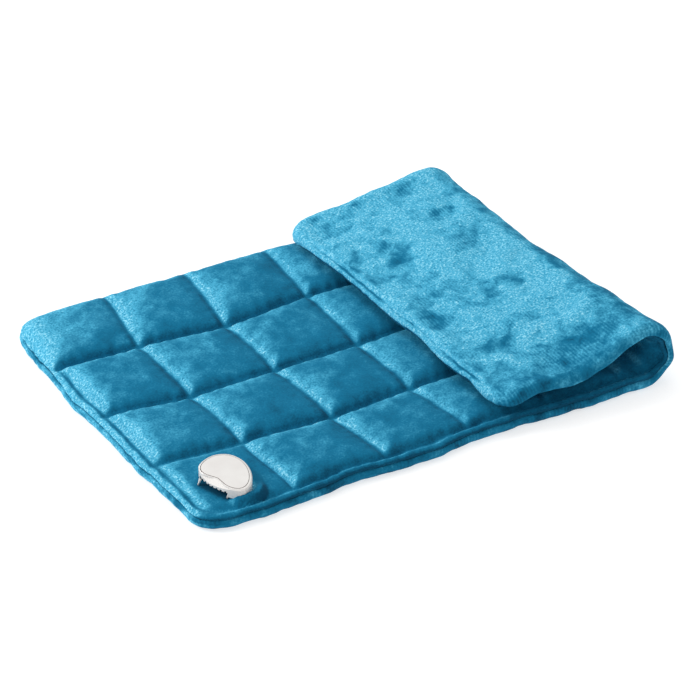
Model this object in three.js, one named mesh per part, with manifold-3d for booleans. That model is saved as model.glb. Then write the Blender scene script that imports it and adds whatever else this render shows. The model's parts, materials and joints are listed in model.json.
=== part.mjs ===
// Quilted plush heating pad with one end folded back over itself, and the socket for its hand control's plug.
// Millimetres, Z up. X runs along the pad to the fold, Y across it, and the pad lies on Z = 0.
// A place in the cloth is given as s, the distance along the pad from its flat end, followed round the fold,
// as y across it, and as a depth through it from the plain back face.

import * as THREE from "three";
import { mergeVertices } from "three/addons/utils/BufferGeometryUtils.js";
import Module from "manifold-3d";

const wasm = await Module();
wasm.setup();

// Quilting and outline, laid flat
const cellsAlong = 8;
const cellsAcross = 4;
const cellLength = 73;
const cellWidth = 76.5;
const hemWidth = 6;
const cornerRadius = 24;

// Depths through the pad
const crownDepth = 17.5;
const seamDepth = 10.2;
const seatDepth = 13;
const coverThickness = 3;
const carrierThickness = 0.6;
const carrierMargin = 13;
const hemEdgeDepth = 9.2;
const hemRise = 2.7;
const backHemDepth = 5.8;
const backHemWidth = 4.4;
const hemRound = 1.6;

// Fold: where its foot stands, the cloth that goes round it, and how it swells towards its near and far ends
const cellsBeforeFold = 5;
const foldLead = 20;
const foldCloth = 69;
const foldInnerRadius = 5.25;
const nearSwell = 4.75;
const farSwell = 1.8;
const nearSwellPower = 2;
const farSwellPower = 6;
const foldDraw = 8.4;
const foldDrawReach = 93;
const foldLeanShare = 1.5;
const foldHingeReach = 15;
const foldSteps = 12;

// Flap: its free edge, measured from the pad's flat end, and the droop of its near side
const flapFreeEdge = 256;
const freeHemGap = 1;
const droopDepth = 8;
const droopPlace = 56;

// Clearances
const layerGap = 0.3;
const sectionGap = 0.3;
const cutOverrun = 2;

// Heating wire
const wireDiameter = 1.6;
const wireBend = 7;
const runPitch = 22.4;
const firstRun = 20;
const runMargin = 28;
const laneMargin = 14;
const wireTail = 15;
const wireSides = 6;
const leadDiameter = 1.4;
const leadBend = 1.1;
const leadSpacing = 1.9;
const spliceDiameter = 4.4;
const spliceLength = 11;
const spliceChamfer = 0.6;
const spliceInset = 2;
const cutoutDiameter = 3;
const cutoutLength = 14;
const cutoutNeck = 0.9;
const cutoutPlace = 116;

// Socket housing, in its own axes: x away from the mouth, y along the mouth, z up from the seat on the cloth
const socketFromSeam = 35;
const socketFromSide = 34.2;
const socketTurn = THREE.MathUtils.degToRad(14);
const socketHalfWidth = 18;
const socketHalfLength = 27;
const socketHeight = 9.3;
const socketWall = 1.8;
const socketRoof = 2.6;
const socketBevel = 1;
const plateThickness = 1.2;
const plateBevel = 0.3;
const mouthLength = 31;
const mouthMiddle = 2.5;
const mouthHeight = 4.7;
const mouthDepth = 9;
const mouthNotch = 0.9;
const mouthNotches = 8;
const lipTopInset = 6;
const lipEdgeHeight = 6.2;
const lipEndRun = 1.5;

// Contacts, block, clamp plate and screws, in the socket's axes
const contactCount = 4;
const contactPitch = 6;
const contactDiameter = 1.6;
const contactReach = 7;
const contactTail = 0.7;
const contactHeight = 3.2;
const blockFront = -4;
const blockWidth = 8.2;
const blockLength = 27;
const blockChamfer = 0.8;
const pedestalFront = -3.5;
const pedestalWidth = 12.5;
const pedestalLength = 24;
const leadDrop = 6.5;
const leadSlotWidth = 2.6;
const leadSlotLength = 21;
const clampThickness = 2.2;
const clampInset = 5.6;
const clampGap = 0.4;
const screwDiameter = 1.8;
const screwHeadDiameter = 4.4;
const screwHeadHeight = 1.2;
const screwReach = 5;
const bossDiameter = 5.2;
const bossShares = [
  [0.08, 0.74],
  [-0.23, -0.59],
];
const pocketMargin = 3;

// Shares: stations across one cell, across the hem, and the socket's outlines as shares of its half sizes
const cellShares = [0, 0.14, 0.5, 0.86];
const hemShares = [0, 0.5];
const puffPower = 4;
const seatPower = 16;
const outlineShares = [
  [-0.86, 0.52],
  [-0.56, 0.86],
  [0, 0.99],
  [0.5, 0.94],
  [0.91, 0.69],
  [1.02, 0.26],
  [0.81, -0.19],
  [0.4, -0.58],
  [-0.07, -0.83],
  [-0.44, -0.87],
  [-0.74, -0.63],
  [-0.92, -0.22],
  [-0.96, 0.15],
];
const plateShares = [
  [-0.68, 0.7],
  [-0.39, 0.85],
  [0.06, 0.92],
  [0.46, 0.87],
  [0.81, 0.65],
  [0.91, 0.26],
  [0.71, -0.16],
  [0.33, -0.51],
  [-0.03, -0.7],
  [-0.32, -0.76],
  [-0.54, -0.71],
  [-0.68, -0.54],
  [-0.72, -0.33],
  [-0.66, -0.11],
  [-0.62, 0.06],
  [-0.69, 0.2],
  [-0.77, 0.37],
  [-0.77, 0.56],
];
const leastStraightAngle = THREE.MathUtils.degToRad(179);
const outlineSteps = 40;
const roundSides = 12;

// Sizes that follow from those above
const padLength = cellsAlong * cellLength + 2 * hemWidth;
const padWidth = cellsAcross * cellWidth + 2 * hemWidth;
const middleDepth = crownDepth / 2;
const carrierBottom = coverThickness + layerGap;
const wireBottom = carrierBottom + carrierThickness + layerGap;
const wireDepth = wireBottom + wireDiameter / 2;
const battingBottom = wireBottom + wireDiameter + layerGap;
const foldStart = hemWidth + cellsBeforeFold * cellLength + foldLead;
const foldEnd = foldStart + foldCloth;
const socketFromEnd = hemWidth + cellLength - socketFromSeam;

// The fold's foot and radius change across the pad, and the flap slopes down from it until the crowns on its
// underside rest on the crowns below, with the hem of its free end just over them
function foldAt(y) {
  const across = THREE.MathUtils.clamp(y / padWidth + 1 / 2, 0, 1);
  const near = nearSwell * Math.pow(1 - across, nearSwellPower);
  const swell = near + farSwell * Math.pow(across, farSwellPower);
  const foot = foldStart - foldDraw + foldLeanShare * swell;
  const outerRadius = foldInnerRadius + crownDepth + swell;
  const radius = outerRadius - middleDepth;
  const hemTop = hemEdgeDepth + hemRise - middleDepth;
  let slope = 0;
  let flapLength = foot - flapFreeEdge;
  for (let pass = 0; pass < 20; pass += 1) {
    const drop = outerRadius + (radius - hemTop) * Math.cos(slope) - crownDepth - freeHemGap;
    flapLength = (foot - radius * Math.sin(slope) - flapFreeEdge) / Math.cos(slope);
    slope = Math.asin(drop / flapLength);
  }
  return { foot, outerRadius, radius, flapLength, turn: Math.PI + slope };
}

const nearFold = foldAt(hemRound - padWidth / 2);
const footprintMiddle = (nearFold.foot + nearFold.outerRadius) / 2;
const axisY = hemWidth - padWidth / 2;

function droopAt(s, y) {
  const along = THREE.MathUtils.clamp((s - foldEnd) / droopPlace - 1, -1, 1);
  const across = THREE.MathUtils.clamp(1 - (y + padWidth / 2) / (hemWidth + cellWidth), 0, 1);
  return droopDepth * across * Math.pow(Math.cos((along * Math.PI) / 2), 2);
}

// Where a place in the cloth lies: flat up to the fold, round its arc, then along the flap
function place(s, y, depth) {
  const fold = foldAt(y);
  const drawn = Math.pow(THREE.MathUtils.clamp(1 + (s - foldStart) / foldDrawReach, 0, 1), 2);
  const before = Math.min(s, foldStart) - (foldStart - fold.foot) * drawn;
  const turn = THREE.MathUtils.clamp((s - foldStart) / foldCloth, 0, 1) * fold.turn;
  const past = (Math.max(s - foldEnd, 0) * fold.flapLength) / (padLength - foldEnd);
  const above = depth - middleDepth;
  const x = before + (fold.radius - above) * Math.sin(turn) + past * Math.cos(turn);
  const z = fold.outerRadius - (fold.radius - above) * Math.cos(turn) + past * Math.sin(turn);
  return new THREE.Vector3(x - footprintMiddle, y, z - droopAt(s, y));
}

function inwardAt(s) {
  const turn = THREE.MathUtils.clamp((s - foldStart) / foldCloth, 0, 1) * foldAt(0).turn;
  return new THREE.Vector3(-Math.sin(turn), 0, Math.cos(turn));
}

// Outline of the flat pad, with rounded corners, drawn in by an inset
function edgeDistance(s, y) {
  const alongPast = Math.abs(s - padLength / 2) - (padLength / 2 - cornerRadius);
  const acrossPast = Math.abs(y) - (padWidth / 2 - cornerRadius);
  const outside = Math.hypot(Math.max(alongPast, 0), Math.max(acrossPast, 0));
  return cornerRadius - outside - Math.min(Math.max(alongPast, acrossPast), 0);
}

function halfWidthAt(s, inset) {
  const radius = cornerRadius - inset;
  const fromEnd = Math.min(s, padLength - s) - inset;
  const short = Math.max(radius - fromEnd, 0);
  return padWidth / 2 - cornerRadius + Math.sqrt(Math.max(radius * radius - short * short, 0));
}

// A column of stations keeps its y, but the outer ones are drawn in where the corners round off
function columnAt(s, y, inset) {
  const keptHalf = padWidth / 2 - cornerRadius - hemWidth;
  const straightHalf = padWidth / 2 - inset;
  const beyond = Math.abs(y) - keptHalf;
  if (beyond <= 0) return y;
  const squeeze = (halfWidthAt(s, inset) - keptHalf) / (straightHalf - keptHalf);
  return Math.sign(y) * (keptHalf + beyond * squeeze);
}

// Quilted face: a hem roll round the edge, seams on a grid, crowned cells, and one flat cell for the socket
function quiltDepth(s, y) {
  const fromEdge = edgeDistance(s, y);
  if (fromEdge <= hemWidth) {
    const share = Math.max(fromEdge / hemWidth, 0);
    return THREE.MathUtils.lerp(hemEdgeDepth, seamDepth, share) + hemRise * Math.sin(Math.PI * share);
  }
  const along = (s - hemWidth) / cellLength;
  const across = (y + padWidth / 2 - hemWidth) / cellWidth;
  const isSeat = along < 1 && across < 1;
  const power = isSeat ? seatPower : puffPower;
  const top = isSeat ? seatDepth : crownDepth;
  const puff = (value) => 1 - Math.pow(Math.abs(2 * (value - Math.floor(value)) - 1), power);
  const fromHem = Math.min((fromEdge - hemWidth) / (cellWidth / 2), 1);
  const rounded = 1 - Math.pow(1 - fromHem, power);
  return seamDepth + (top - seamDepth) * Math.min(puff(along) * puff(across), rounded);
}

function quiltUnderDepth(s, y) {
  const share = THREE.MathUtils.clamp(edgeDistance(s, y) / hemWidth, 0, 1);
  if (share >= 1) return quiltDepth(s, y) - coverThickness;
  return THREE.MathUtils.lerp(backHemDepth + 2 * layerGap, seamDepth - coverThickness, share);
}

const battingDepth = (s, y) => quiltUnderDepth(s, y) - layerGap;

function backDepth(s, y) {
  const fromEdge = Math.max(edgeDistance(s, y), 0);
  if (fromEdge < hemRound) return backHemDepth - hemRound + fromEdge;
  if (fromEdge <= backHemWidth) return backHemDepth;
  const share = Math.min((fromEdge - backHemWidth) / (hemWidth - backHemWidth), 1);
  return THREE.MathUtils.lerp(backHemDepth, coverThickness, share);
}

const backUnderDepth = (s, y) => Math.max(hemRound - Math.max(edgeDistance(s, y), 0), 0);

// Stations along and across the pad
function quiltStations(count, pitch) {
  const length = count * pitch + 2 * hemWidth;
  const stations = [];
  for (let cell = 0; cell < count; cell += 1) {
    for (const share of cellShares) stations.push(hemWidth + (cell + share) * pitch);
  }
  stations.push(length - hemWidth);
  const hem = hemShares.map((share) => share * hemWidth);
  return [...hem, ...stations, ...hem.map((value) => length - value).reverse()];
}

const alongStations = quiltStations(cellsAlong, cellLength);
const acrossStations = quiltStations(cellsAcross, cellWidth).map((value) => value - padWidth / 2);

function stationsBetween(stations, from, to) {
  const least = cellLength * cellShares[1] * 0.5;
  const inner = stations.filter((value) => value > from + least && value < to - least);
  return [from, ...inner, to];
}

function evenStations(from, to, steps) {
  return Array.from({ length: steps + 1 }, (_, i) => THREE.MathUtils.lerp(from, to, i / steps));
}

const mainEnd = foldStart - sectionGap / 2;
const bendFrom = foldStart + sectionGap / 2;
const bendTo = foldEnd - sectionGap / 2;
const flapFrom = foldEnd + sectionGap / 2;
const bendRows = evenStations(bendFrom, bendTo, foldSteps);
const mainRows = [
  ...alongStations.slice(0, hemShares.length),
  ...stationsBetween(alongStations, alongStations[hemShares.length], mainEnd),
];
const flapRows = [
  ...stationsBetween(alongStations, flapFrom, padLength - hemWidth),
  ...alongStations.slice(-hemShares.length),
];

// A sheet of cloth between two depths, on a grid of stations, closed by walls round its edge
function sheet(rows, columns, under, over, { inset = 0, flatUnder = false } = {}) {
  const points = [];
  const flat = [];
  for (const depth of [over, under]) {
    for (const s of rows) {
      for (const column of columns) {
        const y = columnAt(s, column, inset);
        points.push(place(s, y, depth(s, y)));
        flat.push(new THREE.Vector2(s, y));
      }
    }
  }
  const wide = columns.length;
  const layer = rows.length * wide;
  const faces = [];
  for (let i = 0; i + 1 < rows.length; i += 1) {
    for (let j = 0; j + 1 < wide; j += 1) {
      const a = i * wide + j;
      const b = a + wide;
      faces.push(a, b, b + 1, a, b + 1, a + 1);
      if (flatUnder) continue;
      faces.push(layer + a, layer + b + 1, layer + b, layer + a, layer + a + 1, layer + b + 1);
    }
  }
  const loop = [];
  for (let i = 0; i + 1 < rows.length; i += 1) loop.push(i * wide);
  for (let j = 0; j + 1 < wide; j += 1) loop.push((rows.length - 1) * wide + j);
  for (let i = rows.length - 1; i > 0; i -= 1) loop.push(i * wide + wide - 1);
  for (let j = wide - 1; j > 0; j -= 1) loop.push(j);
  loop.forEach((p, k) => {
    const q = loop[(k + 1) % loop.length];
    faces.push(layer + p, layer + q, q, layer + p, q, p);
  });
  if (flatUnder) {
    const outline = loop.map((p) => flat[p]);
    for (const [a, b, c] of THREE.ShapeUtils.triangulateShape(outline, [])) {
      faces.push(layer + loop[a], layer + loop[c], layer + loop[b]);
    }
  }
  return surface(points, faces);
}

function surface(points, faces) {
  const used = new Map();
  const kept = [];
  const index = faces.map((p) => {
    if (!used.has(p)) {
      used.set(p, kept.length);
      kept.push(points[p]);
    }
    return used.get(p);
  });
  const geometry = new THREE.BufferGeometry().setFromPoints(kept);
  geometry.setIndex(index);
  geometry.computeVertexNormals();
  return geometry;
}

// Solids for cuts and joins
function toSolid(geometry) {
  const bare = geometry.clone();
  bare.deleteAttribute("normal");
  bare.deleteAttribute("uv");
  const merged = mergeVertices(bare);
  return new wasm.Manifold(
    new wasm.Mesh({
      numProp: 3,
      vertProperties: new Float32Array(merged.attributes.position.array),
      triVerts: new Uint32Array(merged.index.array),
    }),
  );
}

function toGeometry(solid) {
  const mesh = solid.getMesh();
  const geometry = new THREE.BufferGeometry();
  geometry.setAttribute("position", new THREE.BufferAttribute(mesh.vertProperties, mesh.numProp));
  geometry.setIndex(new THREE.BufferAttribute(mesh.triVerts, 1));
  geometry.computeVertexNormals();
  return geometry;
}

function cut(body, ...tools) {
  return tools.reduce((left, tool) => left.subtract(tool), body);
}

function boxSolid(x, y, z) {
  const box = new THREE.BoxGeometry(x[1] - x[0], y[1] - y[0], z[1] - z[0]);
  box.translate((x[0] + x[1]) / 2, (y[0] + y[1]) / 2, (z[0] + z[1]) / 2);
  return toSolid(box);
}

function rodSolid(radius, x, y, z) {
  const rod = new THREE.CylinderGeometry(radius, radius, z[1] - z[0], roundSides);
  rod.rotateX(Math.PI / 2);
  rod.translate(x, y, (z[0] + z[1]) / 2);
  return toSolid(rod);
}

// A round wire along points in the cloth, each with the direction that the cloth faces there
function wire(points, facings, radius) {
  const rings = points.map((point, i) => {
    const ahead = points[Math.min(i + 1, points.length - 1)];
    const behind = points[Math.max(i - 1, 0)];
    const forward = ahead.clone().sub(behind).normalize();
    const side = forward.clone().cross(facings[i]).normalize();
    const up = side.clone().cross(forward);
    return Array.from({ length: wireSides }, (_, k) => {
      const angle = (2 * Math.PI * k) / wireSides;
      const offset = side.clone().multiplyScalar(Math.cos(angle)).addScaledVector(up, Math.sin(angle));
      return point.clone().addScaledVector(offset, radius);
    });
  });
  const faces = [];
  for (let i = 0; i + 1 < rings.length; i += 1) {
    for (let k = 0; k < wireSides; k += 1) {
      const a = i * wireSides + k;
      const b = i * wireSides + ((k + 1) % wireSides);
      faces.push(a, b + wireSides, b, a, a + wireSides, b + wireSides);
    }
  }
  const last = (rings.length - 1) * wireSides;
  for (let k = 1; k + 1 < wireSides; k += 1) {
    faces.push(0, k, k + 1, last, last + k + 1, last + k);
  }
  return surface(rings.flat(), faces);
}

// Points of a path with its corners rounded, each corner a short curve, and its straight stretches kept
function roundedPath(corners, radius) {
  const path = [corners[0]];
  for (let i = 1; i + 1 < corners.length; i += 1) {
    const corner = corners[i];
    const back = corners[i - 1].clone().sub(corner);
    const on = corners[i + 1].clone().sub(corner);
    if (back.angleTo(on) > leastStraightAngle) {
      path.push(corner);
      continue;
    }
    const reach = Math.min(radius, back.length() / 2, on.length() / 2);
    const from = corner.clone().addScaledVector(back.normalize(), reach);
    const to = corner.clone().addScaledVector(on.normalize(), reach);
    path.push(...new THREE.QuadraticBezierCurve3(from, corner, to).getPoints(2));
  }
  path.push(corners[corners.length - 1]);
  return path;
}

// A wire laid in the cloth at the wire's depth, through corners given as [s, y]
function laidWire(corners, bend = wireBend) {
  const flat = corners.map(([s, y]) => new THREE.Vector3(s, y, 0));
  const path = bend > 0 ? roundedPath(flat, bend) : flat;
  const points = path.map((p) => place(p.x, p.y, wireDepth));
  const facings = path.map((p) => inwardAt(p.x));
  return wire(points, facings, wireDiameter / 2);
}

const group = new THREE.Group();

function material(color, roughness, metalness = 0) {
  return () => new THREE.MeshStandardMaterial({ color, roughness, metalness });
}

const plush = material(0x1f85ab, 0.95);
const plushBack = material(0x4fb6da, 0.95);
const wadding = material(0xe8ebea, 1);
const nonwoven = material(0xd9dcd6, 1);
const insulation = material(0xd8cdb8, 0.6);
const whitePlastic = material(0xf0efee, 0.4);
const darkPlastic = material(0x24272b, 0.5);
const brass = material(0xc9a24b, 0.35, 1);
const steel = material(0xb8bcc0, 0.35, 1);
const sleeving = material(0x33363a, 0.7);

function add(name, geometry, made, parent = group) {
  const mesh = new THREE.Mesh(geometry, made());
  mesh.name = name;
  parent.add(mesh);
}

// Socket outlines
function loopFrom(shares) {
  const points = shares.map(([x, y]) => new THREE.Vector3(x * socketHalfWidth, y * socketHalfLength, 0));
  const curve = new THREE.CatmullRomCurve3(points, true, "centripetal");
  return curve.getSpacedPoints(outlineSteps).slice(0, outlineSteps).reverse();
}

// A solid between two heights whose outline is the loop drawn in by a distance, or let out by a negative one
function insetSlab(loop, distance, bottom, top) {
  const section = new wasm.CrossSection([loop.map((point) => [point.x, point.y])]);
  return section.offset(-distance, "Miter").extrude(top - bottom).translate([0, 0, bottom]);
}

function slab(loop, bottom, top, bevel = 0) {
  const shape = new THREE.Shape(loop.map((point) => new THREE.Vector2(point.x, point.y)));
  const geometry = new THREE.ExtrudeGeometry(shape, {
    depth: top - bottom - 2 * bevel,
    bevelEnabled: bevel > 0,
    bevelThickness: bevel,
    bevelSize: bevel,
    bevelOffset: -bevel,
    bevelSegments: 1,
    steps: 1,
  });
  geometry.translate(0, 0, bottom + bevel);
  return geometry;
}

const outline = loopFrom(outlineShares);
const plateOutline = loopFrom(plateShares);
const socket = new THREE.Group();
const socketX = socketFromEnd - footprintMiddle;
const socketY = socketFromSide - padWidth / 2;
socket.position.set(socketX, socketY, seatDepth);
socket.rotation.z = socketTurn;
group.add(socket);
socket.updateMatrixWorld(true);

const mouthSides = [mouthMiddle - mouthLength / 2, mouthMiddle + mouthLength / 2];
const mouthFront = -socketHalfWidth - cutOverrun;
const screwClearRadius = screwDiameter / 2 + layerGap;
const bossPlaces = bossShares.map(([x, y]) => [x * socketHalfWidth, y * socketHalfLength]);

function around(middle, length) {
  return [middle - length / 2, middle + length / 2];
}

function pedestalBox(clearance, z) {
  const x = [pedestalFront - clearance, pedestalFront + pedestalWidth + clearance];
  return boxSolid(x, around(mouthMiddle, pedestalLength + 2 * clearance), z);
}

// The tools that open the cloth under the socket, in pad axes
function inPadAxes(solid) {
  const geometry = toGeometry(solid);
  geometry.applyMatrix4(socket.matrixWorld);
  return toSolid(geometry);
}

// Covers, wadding, carrier and wire of the flat part
const through = [-crownDepth, crownDepth];
const clothOpening = inPadAxes(pedestalBox(layerGap, through));
const screwOpeningRadius = screwClearRadius + layerGap;
const screwOpenings = bossPlaces.map(([x, y]) => inPadAxes(rodSolid(screwOpeningRadius, x, y, through)));
const pocketFrom = hemWidth + pocketMargin;
const pocketX = [pocketFrom, hemWidth + cellLength - pocketMargin].map((x) => x - footprintMiddle);
const pocketY = [pocketFrom, hemWidth + cellWidth - pocketMargin].map((y) => y - padWidth / 2);
const pocket = boxSolid(pocketX, pocketY, [0, crownDepth]);

const laneY = padWidth / 2 - laneMargin;
const runY = padWidth / 2 - runMargin;
const cutoutX = cutoutPlace - footprintMiddle;
const cutoutSeat = boxSolid(
  around(cutoutX, cutoutLength + 2 * layerGap),
  around(-laneY, cutoutDiameter + 2 * layerGap),
  [wireBottom, wireBottom + cutoutDiameter + layerGap],
);

const mainTop = toSolid(sheet(mainRows, acrossStations, quiltUnderDepth, quiltDepth));
add("top_cover_main", toGeometry(cut(mainTop, clothOpening, ...screwOpenings)), plush);

const innerColumns = acrossStations.slice(hemShares.length, -hemShares.length);
const battingRows = mainRows.slice(hemShares.length);
const level = (depth) => () => depth;
const mainBatting = toSolid(
  sheet(battingRows, innerColumns, level(battingBottom), battingDepth, { flatUnder: true }),
);
add("batting_main", toGeometry(cut(mainBatting, pocket, cutoutSeat)), wadding);

const hemStops = [0, hemRound, backHemWidth, hemWidth];
const cornerStops = [(hemWidth + cornerRadius) / 2, cornerRadius + hemWidth];
const sideStops = [...hemStops, ...cornerStops];
const plainHalf = padWidth / 2 - cornerRadius - hemWidth;
const plainColumns = [
  ...sideStops.map((stop) => stop - padWidth / 2),
  ...innerColumns.filter((value) => Math.abs(value) < plainHalf),
  ...sideStops.map((stop) => padWidth / 2 - stop).reverse(),
];
const plainMainRows = [...sideStops, mainEnd];
add("back_cover_main", sheet(plainMainRows, plainColumns, backUnderDepth, backDepth), plushBack);

const carrierSides = [carrierMargin, (carrierMargin + cornerRadius) / 2, cornerRadius + hemWidth];

const carrierHalf = padWidth / 2 - carrierMargin;
const carrierColumns = [
  -carrierHalf,
  ...plainColumns.filter((value) => Math.abs(value) < carrierHalf),
  carrierHalf,
];

function carrier(rows) {
  const top = level(carrierBottom + carrierThickness);
  return sheet(rows, carrierColumns, level(carrierBottom), top, { inset: carrierMargin });
}

add("wire_carrier_main", carrier([...carrierSides, mainEnd]), nonwoven);

// Two short splices under the socket's cell join the leads to the ends of the heating wire
const spliceStart = socketFromEnd + socketHalfWidth - spliceInset;
const spliceX = [spliceStart, spliceStart + spliceLength];
const spliceYs = [1, -1].map((side) => socketY + mouthMiddle + side * contactPitch);
const spliceDepth = wireBottom + spliceDiameter / 2;

function lathed(profile) {
  const geometry = new THREE.LatheGeometry(
    profile.map(([radius, along]) => new THREE.Vector2(radius, along)),
    roundSides,
  );
  geometry.rotateZ(-Math.PI / 2);
  return geometry;
}

function capsule(length, radius, chamfer) {
  return lathed([
    [0, -length / 2],
    [radius - chamfer, -length / 2],
    [radius, -length / 2 + chamfer],
    [radius, length / 2 - chamfer],
    [radius - chamfer, length / 2],
    [0, length / 2],
  ]);
}

spliceYs.forEach((y, i) => {
  const geometry = capsule(spliceLength, spliceDiameter / 2, spliceChamfer);
  geometry.translate((spliceX[0] + spliceX[1]) / 2 - footprintMiddle, y, spliceDepth);
  add(`splice_sleeve_${i + 1}`, geometry, sleeving);
});

// Serpentine: three short runs beside the socket's cell, then full runs to the fold
const runStart = spliceX[1] + layerGap;
const cellEdgeY = hemWidth + cellWidth - padWidth / 2;
const riseX = (spliceX[1] + hemWidth + cellLength) / 2;
const mainRoute = [
  [runStart, spliceYs[0]],
  [riseX, spliceYs[0]],
  [riseX, cellEdgeY + laneMargin],
  [firstRun, cellEdgeY + laneMargin],
];
const runXs = [];
for (let x = firstRun; x < foldStart - wireTail / 2; x += runPitch) runXs.push(x);
if (runXs.length % 2 === 0) runXs.pop();
runXs.forEach((x, i) => {
  const isShort = x < hemWidth + cellLength;
  const near = isShort ? cellEdgeY + laneMargin + runPitch / 2 : -runY;
  const isLast = i === runXs.length - 1;
  const far = isLast ? laneY : runY;
  const low = i === 0 ? [] : [[x, near]];
  mainRoute.push(...(i % 2 === 0 ? [...low, [x, far]] : [[x, far], [x, near]]));
});
mainRoute.push([mainEnd, laneY]);
add("heating_wire_main", laidWire(mainRoute), insulation);

const cutoutEnds = around(cutoutPlace, cutoutLength + 2 * layerGap);
add("heating_wire_return_long", laidWire([[mainEnd, -laneY], [cutoutEnds[1], -laneY]]), insulation);
add(
  "heating_wire_return_short",
  laidWire([
    [cutoutEnds[0], -laneY],
    [riseX, -laneY],
    [riseX, spliceYs[1]],
    [runStart, spliceYs[1]],
  ]),
  insulation,
);
const cutout = capsule(cutoutLength, cutoutDiameter / 2, cutoutNeck);
cutout.translate(cutoutX, -laneY, wireBottom + cutoutDiameter / 2);
add("thermal_cutout", cutout, steel);

// Layers round the fold
add("top_cover_bend", sheet(bendRows, acrossStations, quiltUnderDepth, quiltDepth), plush);
add("batting_bend", sheet(bendRows, innerColumns, level(battingBottom), battingDepth), wadding);
add("back_cover_bend", sheet(bendRows, plainColumns, backUnderDepth, backDepth), plushBack);
add("wire_carrier_bend", carrier(bendRows), nonwoven);
add("heating_wire_bend_out", laidWire(bendRows.map((s) => [s, laneY]), 0), insulation);
add("heating_wire_bend_back", laidWire(bendRows.map((s) => [s, -laneY]), 0), insulation);

// Layers of the flap, on the same rows, so that they keep their gaps where it droops
add("top_cover_flap", sheet(flapRows, acrossStations, quiltUnderDepth, quiltDepth), plush);
const flapInnerRows = flapRows.slice(0, -hemShares.length);
add("batting_flap", sheet(flapInnerRows, innerColumns, level(battingBottom), battingDepth), wadding);
const sideRows = sideStops.map((stop) => padLength - stop).reverse();
const plainFlapRows = [...flapInnerRows.filter((s) => s < sideRows[0]), ...sideRows];
add("back_cover_flap", sheet(plainFlapRows, plainColumns, backUnderDepth, backDepth), plushBack);
const carrierEnd = padLength - carrierMargin;
const carrierFlapRows = [...flapInnerRows.filter((s) => s < carrierEnd), carrierEnd];
add("wire_carrier_flap", carrier(carrierFlapRows), nonwoven);

// The flap's wire follows the rows and columns of the cloth, three runs to a cell and none along a seam
const between = (stations, from, to) =>
  stations.filter((value) => value > from + wireBend && value < to - wireBend);
const flapRoute = [[flapFrom, laneY]];
const flapRuns = alongStations.filter((s, i) => {
  const isSeam = (i - hemShares.length) % cellShares.length === 0;
  return !isSeam && s > flapFrom + wireTail && s < padLength - laneMargin;
});
if (flapRuns.length % 2 === 0) flapRuns.pop();
const turnY = Math.max(...between(innerColumns, 0, runY));
flapRuns.forEach((s, i) => {
  const isLast = i === flapRuns.length - 1;
  const far = i === 0 ? laneY : turnY;
  const near = isLast ? -laneY : -turnY;
  const run = [near, ...between(innerColumns, near, far), far].map((y) => [s, y]);
  flapRoute.push(...(i % 2 === 0 ? run.reverse() : run));
  const side = i % 2 === 0 ? -turnY : turnY;
  if (!isLast) flapRoute.push(...between(flapInnerRows, s, flapRuns[i + 1]).map((row) => [row, side]));
});
const lastRun = flapRuns[flapRuns.length - 1];
const laneRows = [flapFrom, ...between(flapInnerRows, flapFrom, lastRun)].reverse();
flapRoute.push(...laneRows.map((s) => [s, -laneY]));
add("heating_wire_flap", laidWire(flapRoute), insulation);

// Socket housing: an oval cap with a mouth on one side, a sloping lip over it and an inlaid top plate
const mouthX = [mouthFront, mouthFront + cutOverrun + mouthDepth];
const mouth = boxSolid(mouthX, mouthSides, [-cutOverrun, mouthHeight]);
const notchPitch = mouthLength / mouthNotches;
const notches = Array.from({ length: mouthNotches }, (_, i) => {
  const middle = mouthSides[0] + (i + 1 / 2) * notchPitch;
  return boxSolid(mouthX, around(middle, notchPitch / 2), [mouthHeight / 2, mouthHeight + mouthNotch]);
});
const slope = new THREE.Shape([
  new THREE.Vector2(-socketHalfWidth - cutOverrun, lipEdgeHeight - cutOverrun / 2),
  new THREE.Vector2(-socketHalfWidth, lipEdgeHeight),
  new THREE.Vector2(-socketHalfWidth + lipTopInset, socketHeight),
  new THREE.Vector2(-socketHalfWidth + lipTopInset, socketHeight + cutOverrun),
  new THREE.Vector2(-socketHalfWidth - cutOverrun, socketHeight + cutOverrun),
]);
const lipLength = mouthLength + 2 * lipEndRun;
const slopeTool = new THREE.ExtrudeGeometry(slope, { depth: lipLength, bevelEnabled: false });
slopeTool.rotateX(Math.PI / 2);
slopeTool.translate(0, mouthMiddle + lipLength / 2, 0);
const plateSeatBottom = socketHeight - plateThickness - layerGap;
const plateSeat = insetSlab(plateOutline, -layerGap, plateSeatBottom, socketHeight + cutOverrun);
const plateRim = insetSlab(plateOutline, -layerGap - socketWall / 2, 0, socketHeight + 2 * cutOverrun);
const lipCut = toSolid(slopeTool).subtract(plateRim);
const cavity = insetSlab(outline, socketWall, -cutOverrun, socketHeight - socketRoof);
const bosses = bossPlaces.map(([x, y]) =>
  rodSolid(bossDiameter / 2, x, y, [layerGap, socketHeight - socketRoof + layerGap]),
);
const pilotZ = [-cutOverrun, screwReach + layerGap];
const pilots = bossPlaces.map(([x, y]) => rodSolid(screwClearRadius, x, y, pilotZ));
let housing = cut(toSolid(slab(outline, layerGap, socketHeight, socketBevel)), cavity);
housing = bosses.reduce((left, boss) => left.add(boss), housing);
housing = cut(housing, mouth, ...notches, lipCut, plateSeat, ...pilots);
add("socket_housing", toGeometry(housing), whitePlastic, socket);
add(
  "socket_top_plate",
  slab(plateOutline, socketHeight - plateThickness, socketHeight, plateBevel),
  whitePlastic,
  socket,
);

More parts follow.
